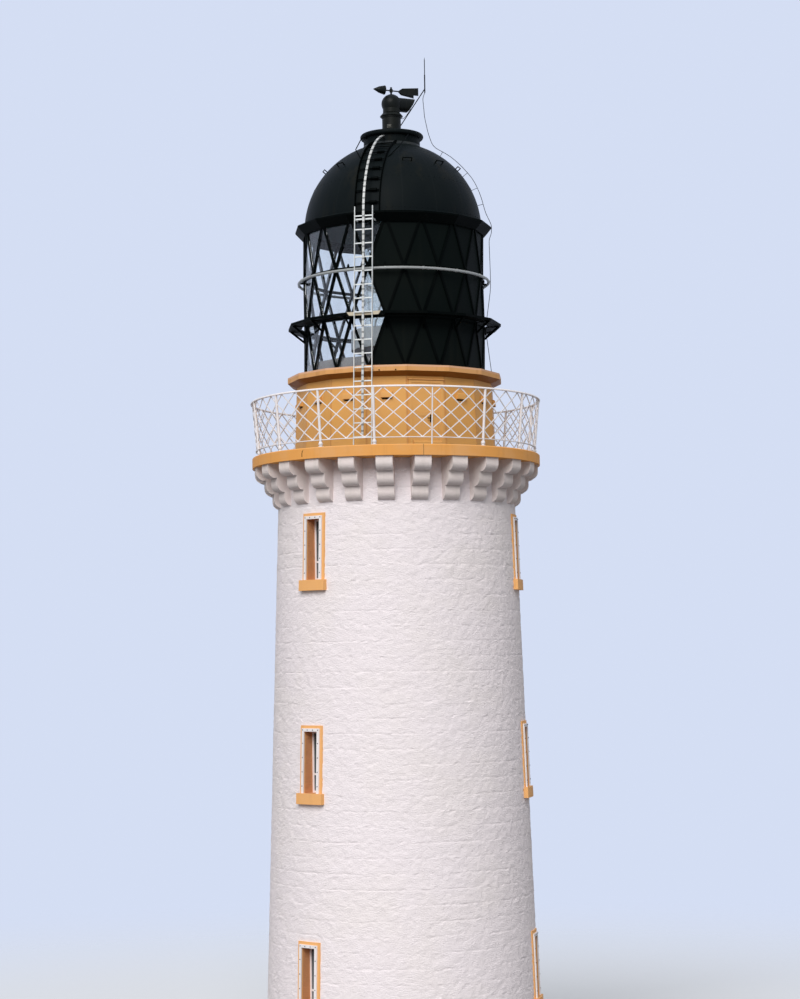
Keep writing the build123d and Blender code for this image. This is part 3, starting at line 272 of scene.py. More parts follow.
def build_rough_skin():
    group, given, made = new_group("rough_skin", {
        "Lumps": 10.0, "Pits": 40.0, "Pit Share": 0.4, "Flatness": 1.0}, ("Height",))
    squash = place(group, "CombineXYZ", in_X=1.0, in_Y=1.0, in_Z=given["Flatness"]).outputs[0]
    drawn = place(group, "VectorMath", operation="MULTIPLY", in_0=surface_place(group), in_1=squash)
    lumps = noise_node(group, drawn.outputs[0], given["Lumps"], 5.0)
    pits = noise_node(group, drawn.outputs[0], given["Pits"], 3.0, roughness=0.7)
    worn = reckon(group, "MULTIPLY", ramp_between(group, pits, *pit_edge), given["Pit Share"])
    group.links.new(reckon(group, "ADD", lumps, worn), made["Height"])
    return group


patches_group = build_patches()
streaks_group = build_streaks()
skin_group = build_rough_skin()
print("shared effects:", [group.name for group in bpy.data.node_groups])

# %% [markdown]
# Two more effects stand round the tower like spokes: the dark joints between castings, and the
# inner faces of the window openings, which the painters did in another colour than the wall. Both
# ask how far a point lies from the nearest of a ring of upright planes, so they share that sum.

# %% Joints and window reveals
storey_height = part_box("middle_wall_bays")[0].z
window_first_azimuth = radians(-42.0)
window_step = radians(120.0)
window_half = 0.17
window_height = 1.17
window_sill_drop = 2.285
mask_margin = 0.004
joint_break_scale = 14.0
joint_break_edge = (0.30, 0.50)
joint_least = 0.45
joint_fade = 0.7


def spot_parts(tree):
    """Across, along and up: the three parts of the place on the surface."""
    return place(tree, "SeparateXYZ", in_0=surface_place(tree)).outputs


def from_spokes(tree, phase, step):
    """Distance from the nearest of a ring of upright planes through the axis, and the height."""
    x, y, z = spot_parts(tree)
    squares = reckon(tree, "ADD", reckon(tree, "MULTIPLY", x, x), reckon(tree, "MULTIPLY", y, y))
    azimuth = reckon(tree, "ARCTAN2", x, reckon(tree, "MULTIPLY", y, -1.0))
    most = reckon(tree, "MULTIPLY", step, 0.5)
    least = reckon(tree, "MULTIPLY", step, -0.5)
    turn = reckon(tree, "WRAP", reckon(tree, "SUBTRACT", azimuth, phase), most, least)
    side = reckon(tree, "MULTIPLY", reckon(tree, "SQRT", squares), reckon(tree, "SINE", turn))
    return reckon(tree, "ABSOLUTE", side), z


def build_joints():
    group, given, made = new_group("upright_joints", {
        "Phase": 0.0, "Step": 0.4, "Half Width": 0.006, "Under": light_tone, "Joint": dark_tone,
        "Amount": 0.8})
    side, _ = from_spokes(group, given["Phase"], given["Step"])
    away = reckon(group, "DIVIDE", side, given["Half Width"])
    near = reckon(group, "SUBTRACT", 1.0, away, clamp=True)
    broken = noise_node(group, surface_place(group), joint_break_scale, 3.0, roughness=0.5)
    kept = ramp_between(group, broken, *joint_break_edge, joint_least, 1.0)
    dark = reckon(group, "MULTIPLY", ramp_between(group, near, 0.0, joint_fade), kept)
    mask = reckon(group, "MULTIPLY", dark, given["Amount"])
    return lay_over(group, given, made, mask, "Under", "Joint")


def build_reveals():
    group, given, made = new_group("window_reveals", {
        "Wall": light_tone, "Reveal": dark_tone})
    side, height = from_spokes(group, window_first_azimuth, window_step)
    above_sill = reckon(group, "SUBTRACT", height, storey_height - window_sill_drop - mask_margin)
    level = reckon(group, "WRAP", above_sill, storey_height, 0.0)
    beside = reckon(group, "LESS_THAN", side, window_half + mask_margin)
    within = reckon(group, "LESS_THAN", level, window_height + 2 * mask_margin)
    return lay_over(group, given, made, reckon(group, "MULTIPLY", beside, within), "Wall", "Reveal")


joints_group = build_joints()
reveals_group = build_reveals()
print("storeys", round(storey_height, 3), "m high, windows", window_height, "m high")

# %% [markdown]
# The last two effects go by height and distance: level bands, such as the gallery's deck, painted shade
# in a cove, a painted highlight along an edge or a row of slots, and the paler lining inside the dome.


# %% Bands and lining
def build_bands():
    group, given, made = new_group("level_bands", {
        "Middle": 0.0, "Period": 1.0, "Half Height": 0.01, "Under": light_tone, "Band": dark_tone,
        "Amount": 0.8})
    level = reckon(group, "SUBTRACT", spot_parts(group)["Z"], given["Middle"])
    most = reckon(group, "MULTIPLY", given["Period"], 0.5)
    least = reckon(group, "MULTIPLY", given["Period"], -0.5)
    away = reckon(group, "ABSOLUTE", reckon(group, "WRAP", level, most, least))
    inside = reckon(group, "LESS_THAN", away, given["Half Height"])
    mask = reckon(group, "MULTIPLY", inside, given["Amount"])
    return lay_over(group, given, made, mask, "Under", "Band")


def build_lining():
    group, given, made = new_group("dome_lining", {
        "Level": 0.0, "Radius": 1.0, "Outer": light_tone, "Lining": dark_tone})
    centre = place(group, "CombineXYZ", in_Z=given["Level"]).outputs[0]
    away = place(group, "VectorMath", operation="DISTANCE", in_0=surface_place(group), in_1=centre)
    mask = reckon(group, "LESS_THAN", away.outputs["Value"], given["Radius"])
    return lay_over(group, given, made, mask, "Outer", "Lining")


bands_group = build_bands()
lining_group = build_lining()
print(len(bpy.data.node_groups), "shared effects in all")

# %% [markdown]
# Each finish is one Principled shader. Its paint goes through the patches and the streaks, its
# roughness follows the same patches, and the rough skin feeds a Bump node. Castings also get their
# joints. Only the numbers differ between lime wash, gloss paint on iron and bare metal, so one
# function makes them all.

# %% Finish maker
single_band_period = 100.0
glass_ior = 1.34
glass_smear = 0.86
glass_patch = (1.6, 0.6)


def effect(tree, group, **values):
    """One of the shared effects, with its own values."""
    return place(tree, "Group", node_tree=group, **values)


def new_finish(name):
    """A material with its node tree and its Principled shader."""
    material = bpy.data.materials.new(name)
    material.use_nodes = True
    return material, material.node_tree, material.node_tree.nodes["Principled BSDF"]


def paint(name, colour, faded, streak, patch=(6.0, 0.5), streaks=(14.0, 0.3), rough=(0.5, 0.65),
          skin=(30.0, 120.0, 0.3), relief=(0.2, 0.002), metallic=0.0, specular=0.2,
          joints=None, reveal=None, bands=(), slots=None, lining=None):
    """A painted surface: patch is scale and amount, relief is strength and depth in metres."""
    material, tree, shader = new_finish(name)
    patched = effect(tree, patches_group, in_Paint=colour, in_Faded=faded,
                     in_Scale=patch[0], in_Amount=patch[1])
    coat = effect(tree, streaks_group, in_Under=patched.outputs["Color"], in_Streak=streak,
                  in_Width=streaks[0], in_Amount=streaks[1])
    if joints:
        phase, step, half_width, tone, amount = joints
        coat = effect(tree, joints_group, in_Under=coat.outputs[0], in_Phase=radians(phase),
                      in_Step=radians(step), in_Half_Width=half_width, in_Joint=tone, in_Amount=amount)
    if reveal:
        coat = effect(tree, reveals_group, in_Wall=coat.outputs[0], in_Reveal=reveal)
    if lining:
        level, radius, inner = lining
        coat = effect(tree, lining_group, in_Outer=coat.outputs[0], in_Level=level, in_Radius=radius,
                      in_Lining=inner)
    rows = [((low + high) / 2, single_band_period, (high - low) / 2, *rest) for low, high, *rest in bands]
    rows += [(0.0, *slots)] if slots else []
    for middle, period, half_height, tone, amount in rows:
        coat = effect(tree, bands_group, in_Under=coat.outputs[0], in_Middle=middle, in_Period=period,
                      in_Half_Height=half_height, in_Band=tone, in_Amount=amount)
    tree.links.new(coat.outputs[0], shader.inputs["Base Color"])
    worn = place(tree, "MapRange", in_Value=patched.outputs["Mask"], in_To_Min=rough[0], in_To_Max=rough[1])
    tree.links.new(worn.outputs["Result"], shader.inputs["Roughness"])
    grain = dict(zip(("in_Lumps", "in_Pits", "in_Pit_Share", "in_Flatness"), skin))
    height = effect(tree, skin_group, **grain).outputs["Height"]
    bump = place(tree, "Bump", in_Height=height, in_Strength=relief[0], in_Distance=relief[1])
    tree.links.new(bump.outputs["Normal"], shader.inputs["Normal"])
    shader.inputs["Metallic"].default_value = metallic
    shader.inputs["Specular IOR Level"].default_value = specular
    return material


def glass(name, colour, roughness, transmission):
    """Glass that lets the daylight through to what stands behind it."""
    material, tree, shader = new_finish(name)
    smeared = tuple(glass_smear * part for part in colour)
    smear = effect(tree, patches_group, in_Paint=colour, in_Faded=smeared,
                   in_Scale=glass_patch[0], in_Amount=glass_patch[1])
    tree.links.new(smear.outputs["Color"], shader.inputs["Base Color"])
    shader.inputs["Roughness"].default_value = roughness
    shader.inputs["Transmission Weight"].default_value = transmission
    shader.inputs["IOR"].default_value = glass_ior
    shadow = place(tree, "LightPath").outputs["Is Shadow Ray"]
    open_air = place(tree, "BsdfTransparent").outputs[0]
    choice = blend_shaders(tree, shadow, shader.outputs[0], open_air)
    tree.links.new(choice, tree.nodes["Material Output"].inputs["Surface"])
    return material


print("finish makers:", paint.__name__, glass.__name__)

# %% [markdown]
# The finishes are named as a painter would. The wall is thick lime wash over rough stone, slightly
# lilac in the shade. The rim of the gallery and the window margins are ochre on stone. The
# photograph doesn't show the deck of the gallery, so that is left as bare grey stone inside its
# painted rim, and so are the floors.

# %% Masonry finishes
gallery_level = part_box("gallery_slab")[1].z
deck_skin = 0.001
deck_reach = 0.200
lime_colours = ((0.950, 0.878, 0.908), (0.925, 0.858, 0.853), (0.86, 0.79, 0.80))
lime_look = {"patch": (0.55, 0.6), "streaks": (3.0, 0.2), "rough": (0.8, 0.92),
             "skin": (11.0, 24.0, 0.9, 2.3), "relief": (0.55, 0.0115), "specular": 0.12}
stone_look = {"rough": (0.6, 0.8), "skin": (12.0, 55.0, 0.4), "relief": (0.35, 0.006), "specular": 0.15}
rim_joints = (10.5, 90.0, 0.011, (0.24, 0.10, 0.035), 0.75)
deck_band = (gallery_level - deck_skin, gallery_level + deck_reach, (0.31, 0.30, 0.285), 1.0)
lime_wash = paint("lime_wash", *lime_colours, **lime_look)
wall_lime = paint("wall_lime", *lime_colours, reveal=(0.70, 0.33, 0.155), **lime_look)
corbel_lime = paint(
    "corbel_lime", (0.86, 0.765, 0.745), (0.82, 0.735, 0.70), (0.62, 0.56, 0.52), patch=(1.6, 0.6),
    streaks=(6.0, 0.3), rough=(0.8, 0.9), skin=(14.0, 50.0, 0.6), relief=(0.5, 0.010), specular=0.12)
ochre_stone = paint(
    "ochre_stone", (0.82, 0.380, 0.100), (0.79, 0.415, 0.165), (0.58, 0.26, 0.075), patch=(1.7, 0.75),
    streaks=(6.0, 0.28), joints=rim_joints, bands=[deck_band], **stone_look)
margin_ochre = paint(
    "margin_ochre", (0.87, 0.455, 0.170), (0.83, 0.455, 0.21), (0.63, 0.31, 0.12), patch=(1.6, 0.5),
    streaks=(8.0, 0.2), **stone_look)
flagstone = paint(
    "flagstone", (0.33, 0.32, 0.31), (0.26, 0.25, 0.24), (0.22, 0.21, 0.20), patch=(0.9, 0.6),
    streaks=(2.0, 0.2), rough=(0.75, 0.9), skin=(6.0, 30.0, 0.4), relief=(0.4, 0.01))
print("deck of the gallery at", round(gallery_level, 3))

# %% [markdown]
# The lantern base, its sole and the doors are iron and wood in the same ochre, a little redder than
# on stone. The sole's cove is painted darker as shade under the sole, and its upper edge is painted
# paler as a highlight where light falls. Railings and window casings are white, with a trace of rust in their
# streaks.

# %% Ochre and white iron
base_height = 1.400
base_top = gallery_level + base_height
sole_cove = 0.083
sole_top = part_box("lantern_sole")[1].z
sole_edge = 0.036
sole_skin = 0.0005
# Painted shade darkens the cove under the sole. A painted highlight makes the sole's upper edge paler where
# light falls.
cove_painted_shade = (base_top, base_top + sole_cove, (0.27, 0.090, 0.006), 0.92)
edge_painted_highlight = (sole_top - sole_edge, sole_top - sole_skin, (0.76, 0.45, 0.29), 0.8)
casting_look = {"rough": (0.5, 0.7), "skin": (8.0, 70.0, 0.25), "relief": (0.25, 0.005)}
ochre_iron = paint(
    "ochre_iron", (0.71, 0.362, 0.100), (0.68, 0.355, 0.125), (0.53, 0.26, 0.085), patch=(1.3, 0.6),
    streaks=(6.0, 0.2), joints=(6.5, 22.5, 0.030, (0.52, 0.21, 0.07), 0.5), **casting_look)
sole_ochre = paint(
    "sole_ochre", (0.72, 0.365, 0.130), (0.69, 0.375, 0.165), (0.46, 0.20, 0.06), patch=(1.9, 0.7),
    streaks=(7.0, 0.42), specular=0.12, bands=[cove_painted_shade, edge_painted_highlight], **casting_look)
door_ochre = paint(
    "door_ochre", (0.71, 0.365, 0.108), (0.68, 0.36, 0.13), (0.51, 0.25, 0.08), patch=(1.6, 0.5),
    streaks=(8.0, 0.2), rough=(0.45, 0.6), skin=(8.0, 70.0, 0.2), relief=(0.2, 0.004), specular=0.25)
white_iron = paint(
    "white_iron", (0.89, 0.85, 0.86), (0.80, 0.74, 0.73), (0.60, 0.36, 0.22), patch=(3.0, 0.45),
    streaks=(14.0, 0.14), rough=(0.4, 0.6), skin=(20.0, 90.0, 0.3), relief=(0.25, 0.003), specular=0.3)
cream_iron = paint(
    "cream_iron", (0.60, 0.53, 0.41), (0.52, 0.45, 0.34), (0.36, 0.26, 0.16), patch=(5.0, 0.5),
    streaks=(12.0, 0.3), skin=(20.0, 90.0, 0.3), relief=(0.2, 0.003))
print("sole ends at", round(sole_top, 3))

# %% [markdown]
# The lantern is a black that hardly shines. Four blacks are told apart: the bars and ledges, the
# blank panels, the dome, whose plates meet in seams and which is lined with paler sheet, and the
# ventilator, which has kept more of its gloss.

# %% Black finishes
dome_radius = 1.790
dome_centre = gallery_level + 4.585
dome_thickness = 0.020
dome_seams = (6.5, 22.5, 0.007, (0.012, 0.015, 0.016), 0.6)
dome_lining = (dome_centre, dome_radius - dome_thickness, (0.050, 0.085, 0.085))
lantern_black = paint(
    "lantern_black", (0.0010, 0.0019, 0.0018), (0.0024, 0.0036, 0.0034), (0.006, 0.007, 0.006),
    patch=(1.4, 0.5), streaks=(8.0, 0.25), skin=(7.0, 60.0, 0.3), relief=(0.25, 0.004), specular=0.02)
dome_black = paint(
    "dome_black", (0.0048, 0.0074, 0.0082), (0.0072, 0.0100, 0.0100), (0.0150, 0.0150, 0.0110),
    patch=(0.8, 0.6), streaks=(3.4, 0.55), rough=(0.48, 0.58), skin=(2.6, 45.0, 0.12),
    relief=(0.3, 0.008), specular=0.035, joints=dome_seams, lining=dome_lining)
panel_black = paint(
    "panel_black", (0.0033, 0.0055, 0.0050), (0.0052, 0.0072, 0.0062), (0.009, 0.011, 0.009),
    patch=(0.9, 0.6), streaks=(4.5, 0.4), skin=(3.0, 50.0, 0.2), relief=(0.3, 0.005), specular=0.025)
ventilator_black = paint(
    "ventilator_black", (0.0050, 0.0066, 0.0058), (0.010, 0.0115, 0.0085), (0.018, 0.018, 0.013),
    patch=(2.6, 0.7), streaks=(6.0, 0.4), rough=(0.36, 0.5), skin=(6.0, 60.0, 0.2), relief=(0.3, 0.005),
    specular=0.12)
worn_flashing = paint(
    "worn_flashing", (0.018, 0.022, 0.024), (0.035, 0.038, 0.038), (0.05, 0.052, 0.050),
    patch=(3.0, 0.7), streaks=(9.0, 0.4), rough=(0.45, 0.6), skin=(10.0, 40.0, 0.4),
    relief=(0.2, 0.010), specular=0.12)
print("dome", round(2 * dome_radius, 2), "m across, its centre at", round(dome_centre, 3))

# %% [markdown]
# Bare and galvanised metal is told from paint by its finer grain and by a little of the Metallic
# value. The grey castings inside the lantern are painted. Glass lets shadow rays pass, because real
# panes hardly dim the daylight behind them.

# %% Metal and glass
inside_look = {"patch": (1.8, 0.5), "streaks": (6.0, 0.25), "skin": (8.0, 60.0, 0.3),
               "relief": (0.2, 0.004)}
rail_slots = (0.120, 0.018, (0.16, 0.165, 0.16), 0.85)
ladder_metal = paint(
    "ladder_metal", (0.78, 0.81, 0.81), (0.66, 0.69, 0.69), (0.52, 0.52, 0.50), patch=(4.0, 0.5),
    streaks=(16.0, 0.25), rough=(0.4, 0.55), skin=(25.0, 110.0, 0.3), metallic=0.1, specular=0.35)
galvanised = paint(
    "galvanised", (0.36, 0.375, 0.37), (0.30, 0.31, 0.305), (0.24, 0.23, 0.22), patch=(9.0, 0.6),
    rough=(0.42, 0.58), metallic=0.2, specular=0.35)
rail_steel = paint(
    "rail_steel", (0.56, 0.57, 0.56), (0.46, 0.47, 0.46), (0.36, 0.35, 0.33), streaks=(14.0, 0.25),
    rough=(0.42, 0.55), metallic=0.15, specular=0.35, slots=rail_slots)
hatch_brass = paint(
    "hatch_brass", (0.060, 0.060, 0.050), (0.045, 0.043, 0.034), (0.03, 0.028, 0.022),
    patch=(12.0, 0.5), streaks=(20.0, 0.3), rough=(0.35, 0.5), metallic=0.3, specular=0.3)
weathered_copper = paint(
    "weathered_copper", (0.020, 0.019, 0.020), (0.04, 0.04, 0.04), (0.07, 0.06, 0.05),
    streaks=(16.0, 0.3))
curb_grey = paint(
    "curb_grey", (0.145, 0.143, 0.145), (0.125, 0.122, 0.122), (0.09, 0.082, 0.08), **inside_look)
pedestal_grey = paint(
    "pedestal_grey", (0.31, 0.33, 0.34), (0.26, 0.27, 0.28), (0.19, 0.18, 0.17), rough=(0.45, 0.6),
    specular=0.25, **inside_look)
clear_pane = glass("clear_pane", (0.93, 0.96, 0.97), 0.01, 1.0)
window_pane = glass("window_pane", (0.10, 0.12, 0.13), 0.06, 0.35)
lens_glass = glass("lens_glass", (0.90, 0.94, 0.95), 0.03, 0.9)
print(len(bpy.data.materials), "finishes with the floor's")

# %% [markdown]
# Every built piece keeps its own shape and only swaps its plain finish for one of these. One list
# says which pieces take which finish, and a loop goes through it.

# %% Finish the built pieces
pieces_of = {
    wall_lime: "ground_wall_bays ground_wall_piers middle_wall_bays middle_wall_piers"
               " upper_wall_bays upper_wall_piers",
    flagstone: "storey_floors",
    margin_ochre: "window_surrounds window_sills door_surround",
    ochre_stone: "gallery_slab",
    corbel_lime: "corbels",
    white_iron: "window_casings railing_posts railing_top_rail railing_bottom_rail railing_lattice",
    window_pane: "window_panes",
    door_ochre: "entrance_door gallery_door gallery_door_frame",
    ochre_iron: "lantern_base_panels base_vents",
    sole_ochre: "lantern_sole",
    lantern_black: "gallery_door_handle glazing_frame_lower glazing_frame_middle glazing_frame_upper"
                   " cleaning_ledge ledge_brackets handrail_brackets dome_cornice dome_ladder"
                   " dome_grips grab_rails air_terminal terminal_stay conductor_clips",
    panel_black: "blank_panels",
    dome_black: "dome_shell ventilator_drum ventilator_cap",
    ventilator_black: "ventilator_neck neck_collar cowl_head cowl_spindle wind_arrow arrow_tail",
    clear_pane: "clear_panes",
    curb_grey: "lantern_curb",
    pedestal_grey: "lamp_pedestal lens_table",
    lens_glass: "lens_drum",
    galvanised: "lantern_handrail",
    ladder_metal: "lantern_ladder ladder_brackets",
    cream_iron: "ladder_step_plate",
    rail_steel: "fall_arrest_rail",
    weathered_copper: "down_conductor bond_cable",
}
finish_of = {name: finish for finish, names in pieces_of.items() for name in names.split()}
for name, node in nodes.items():
    node.data.materials.clear()
    node.data.materials.append(finish_of[name])
print("finished", len(nodes), "built pieces")

# %% [markdown]
# The small pieces are modelled as by hand: a primitive is added and then shaped in edit mode. By
# hand one would click the faces and edges. These helpers pick them by the way that they face or by
# how far out they lie, and then extrude them, bevel them and mend the normals.

# %% Picking and shaping
front = Vector((0.0, -1.0, 0.0))
up = Vector((0.0, 0.0, 1.0))
right = Vector((1.0, 0.0, 0.0))
plane_slack = 0.001


def edit(piece):
    """Go into edit mode with this piece alone, unless it is being edited."""
    if bpy.context.mode == "OBJECT":
        bpy.ops.object.select_all(action="DESELECT")
        piece.select_set(True)
        bpy.context.view_layer.objects.active = piece
        bpy.ops.object.mode_set(mode="EDIT")


def pick(piece, kind, wanted):
    """Go into edit mode with just the wanted faces or edges selected."""
    edit(piece)
    bpy.ops.mesh.select_mode(type=kind)
    bpy.ops.mesh.select_all(action="DESELECT")
    shape = bmesh.from_edit_mesh(piece.data)
    for part in shape.faces if kind == "FACE" else shape.edges:
        part.select_set(wanted(part))
    bmesh.update_edit_mesh(piece.data)


def pick_facing(piece, *ways):
    """Pick the faces that look in any of these directions."""
    pick(piece, "FACE", lambda face: any(face.normal.dot(way) > 0.9 for way in ways))


def pick_outermost(piece, *ways, longer=0.0):
    """Pick the edges that lie furthest out in each of these directions."""
    ends = [max(vertex.co.dot(way) for vertex in piece.data.vertices) - plane_slack for way in ways]

    def wanted(edge):
        reached = [vertex.co.dot(way) > end for vertex in edge.verts for way, end in zip(ways, ends)]
        return all(reached) and edge.calc_length() > longer

    pick(piece, "EDGE", wanted)


def draw_out(x, y, z):
    """Extrude the faces that are picked, by a move."""
    bpy.ops.mesh.extrude_region_move(TRANSFORM_OT_translate={"value": (x, y, z)})


def round_off(width, segments=2):
    """Bevel the edges that are picked."""
    bpy.ops.mesh.bevel(offset=width, segments=segments, affect="EDGES")


def shaped(piece, angle=35.0):
    """Back to object mode, with normals outwards and only soft edges smooth."""
    edit(piece)
    bpy.ops.mesh.select_all(action="SELECT")
    bpy.ops.mesh.normals_make_consistent(inside=False)
    bpy.ops.object.mode_set(mode="OBJECT")
    bpy.ops.object.shade_smooth_by_angle(angle=radians(angle))
    return piece


print("front is", tuple(front), "and up is", tuple(up))

# %% [markdown]
# What repeats is modelled once and copied, because a change then reaches every copy. A master is
# made at the middle of the tower, with its back to the axis and its front towards the viewer. Each
# copy has its own mesh, is turned to its azimuth and is moved out to its radius.

# %% Primitives and copies
def begin(name, add, **settings):
    """Add a primitive with nothing else selected, and put its size, turn and place in its mesh."""
    bpy.ops.object.select_all(action="DESELECT")
    add(**settings)
    piece = bpy.context.object
    piece.name = name
    bpy.ops.object.transform_apply(location=True, rotation=True, scale=True)
    return piece


def block(name, size, side=0.0, back=0.0, lift=0.0):
    """A box whose back stands this far in front of the axis."""
    middle = (side, -back - size[1] / 2, lift)
    return begin(name, bpy.ops.mesh.primitive_cube_add, size=1.0, scale=size, location=middle)


def stud(name, radius, height, sides=8, crown=0.45):
    """A round head that faces the viewer, with its edge rounded off."""
    piece = begin(name, bpy.ops.mesh.primitive_cylinder_add, vertices=sides, radius=radius,
                  depth=height, location=(0, -height / 2, 0), rotation=(pi / 2, 0, 0))
    pick_facing(piece, front)
    round_off(crown * min(radius, height))
    return shaped(piece, 60.0)


def spun(name, outline, steps=128):
    """A ring turned round the tower's axis from an outline of radius and level."""
    piece = begin(name, bpy.ops.mesh.primitive_circle_add, vertices=len(outline), radius=1.0)
    for vertex, (radius, level) in zip(piece.data.vertices, outline):
        vertex.co = (radius, 0.0, level)
    edit(piece)
    bpy.ops.mesh.select_all(action="SELECT")
    bpy.ops.mesh.spin(steps=steps, angle=2 * pi, center=(0, 0, 0), axis=(0, 0, 1))
    bpy.ops.mesh.select_all(action="SELECT")
    bpy.ops.mesh.remove_doubles(threshold=0.0001)
    return shaped(piece)


def at(azimuth, radius, level):
    """Turned to an azimuth in radians, with the front outwards."""
    return Matrix.Rotation(azimuth, 4, "Z") @ Matrix.Translation((0, -radius, level))


def ring(count, phase=0.0):
    """Azimuths that divide the round evenly."""
    return [phase + 2 * pi * index / count for index in range(count)]


def copies(master, spots):
    """One piece from a copy of the master at each spot."""
    name = master.name
    master.name = name + "_master"
    made = []
    for spot in spots:
        one = bpy.data.objects.new(name, master.data.copy())
        one.data.transform(spot)
        scene.collection.objects.link(one)
        made.append(one)
    bpy.data.objects.remove(master)
    bpy.ops.object.select_all(action="DESELECT")
    for one in made:
        one.select_set(True)
    bpy.context.view_layer.objects.active = made[0]
    if len(made) > 1:
        bpy.ops.object.join()
    piece = bpy.context.view_layer.objects.active
    piece.name = name
    return piece


def fit(piece, finish, slot, body="tower"):
    """Give a piece its finish and its body. The slot argument is not used."""
    piece.data.materials.clear()
    piece.data.materials.append(finish)
    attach(piece, body)
    print(piece.name, len(piece.data.polygons), "faces")
    return piece


black_iron = (lantern_black, "black_metal")
print("a quarter turn puts a copy at", at(pi / 2, 1.0, 0.0).translation.to_tuple(2))

# %% [markdown]
# The wall is coursed rubble under many coats of lime wash. The wash has filled the upright joints
# and left only faint level lines, lumps as wide as a hand and small pecks drawn out sideways. A bump
# pattern would look cast at the wall's edge against the sky, so this skin is real relief. It stops
# under the painted margins, so the windows and the door are worked out first.

# %% Wall and openings
wall_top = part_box("gallery_slab")[0].z
foot_radius = 2.7156
wall_batter = 1 / 32
opening_margin = 0.012
door_azimuth = radians(138.0)
door_half = 0.40
door_foot = 0.15
door_head = 2.10


def wall_face(level):
    return foot_radius - level * wall_batter


def tower_point(radius, azimuth, level):
    return (radius * sin(azimuth), -radius * cos(azimuth), level)


window_azimuths = [window_first_azimuth + window_step * index for index in range(3)]
window_feet = [storey_height * (storey + 1) - window_sill_drop for storey in range(3)]
openings = [(door_azimuth, door_half, door_foot, door_head)]
for foot in window_feet:
    openings += [(azimuth, window_half, foot, foot + window_height) for azimuth in window_azimuths]


def in_opening(azimuth, level):
    for centre, half, foot, head in openings:
        turn = (azimuth - centre + pi) % (2 * pi) - pi
        if abs(turn) > pi / 2:
            continue
        side = abs(wall_face(level) * sin(turn))
        if side < half + opening_margin and foot - opening_margin < level < head + opening_margin:
            return True
    return False


print(len(openings), "openings, the first window's foot at", round(window_feet[0], 2))

# %% [markdown]
# The relief is far too fine to push about by hand, so one function lays it row by row, with rows
# close together at each joint between courses. Noise gives the lumps and the pecks. It is read at
# the place of each point, so the three storeys meet without a seam.

# %% Lime wash
courses_per_storey = 14
columns_round = 520
course_rows = (0.0, 0.04, 0.10, 0.21, 0.33, 0.45, 0.57, 0.69, 0.81, 0.90, 0.96)
skin_middle = 0.0095
skin_least = 0.0012
skin_most = 0.0200
lump_scale = 5.5
lump_depth = 0.0060
lump_falloff = 0.9
lump_finer = 2.1
lump_layers = 4
peck_scale = (10.0, 10.0, 24.0)
peck_start = 0.10
peck_depth = 0.0260
chip_scale = 1.9
chip_offset = Vector((7.0, 3.0, 1.0))
chip_depth = 0.0046
joint_depth = 0.0060
joint_reach = 0.026
joint_wander = 1.1
joint_apart = 5.3
joint_mean = 0.30
joint_swing = 1.9


def wash_thickness(spot, course, share, course_height):
    """How far the lime wash stands in front of the wall at a place in a course."""
    lumps = noise.fractal(spot * lump_scale, lump_falloff, lump_finer, lump_layers) * lump_depth
    drawn = spot * Vector(peck_scale)
    pecks = max(0.0, noise.noise(drawn) - peck_start) * peck_depth
    chips = noise.noise(drawn * chip_scale + chip_offset) * chip_depth
    clear = min(share, 1.0 - share) * course_height
    near = max(0.0, 1.0 - clear / joint_reach)
    kept = noise.noise(Vector((spot.x * joint_wander, spot.y * joint_wander, course * joint_apart)))
    joint = near * near * joint_depth * min(1.0, max(0.0, joint_mean + joint_swing * kept))
    return min(skin_most, max(skin_least, skin_middle + lumps + chips - pecks - joint))


def lay_storey(name, storey):
    course_height = storey_height / courses_per_storey
    rows = [(course, share) for course in range(courses_per_storey) for share in course_rows]
    rows.append((courses_per_storey - 1, 1.0))
    levels = [storey * storey_height + (course + share) * course_height for course, share in rows]
    azimuths = [2 * pi * column / columns_round for column in range(columns_round)]
    points = []
    for (course, share), level in zip(rows, levels):
        number = storey * courses_per_storey + (course if share < 0.5 else course + 1)
        for azimuth in azimuths:
            spot = Vector(tower_point(wall_face(level), azimuth, level))
            proud = wash_thickness(spot, number, share, course_height)
            points.append(tower_point(wall_face(level) + proud, azimuth, level))
    open_here = [[in_opening(azimuth, level) for azimuth in azimuths] for level in levels]
    faces = []
    for row in range(len(levels) - 1):
        for column in range(columns_round):
            following = (column + 1) % columns_round
            corners = [(row, column), (row, following), (row + 1, following), (row + 1, column)]
            if not any(open_here[r][c] for r, c in corners):
                faces.append([r * columns_round + c for r, c in corners])
    mesh = bpy.data.meshes.new(name)
    mesh.from_pydata(points, [], faces)
    mesh.update()
    wash = bpy.data.objects.new(name, mesh)
    scene.collection.objects.link(wash)
    return wash


for storey, label in enumerate(("ground", "middle", "upper")):
    wash = lay_storey(f"{label}_wall_stones", storey)
    edit(wash)
    bpy.ops.mesh.select_mode(type="VERT")
    bpy.ops.mesh.select_all(action="SELECT")
    bpy.ops.mesh.delete_loose(use_verts=True, use_edges=True, use_faces=False)
    bpy.ops.object.mode_set(mode="OBJECT")
    bpy.ops.object.shade_smooth_by_angle(angle=radians(60))
    fit(wash, lime_wash, "white_masonry")

# %% [markdown]
# The white window frames are held to the stone by a row of dark bolts down each side and across
# the head, twelve to a window. A texture would lie flat on the frame, and these cast small shadows,
# so one round head is made and copied.

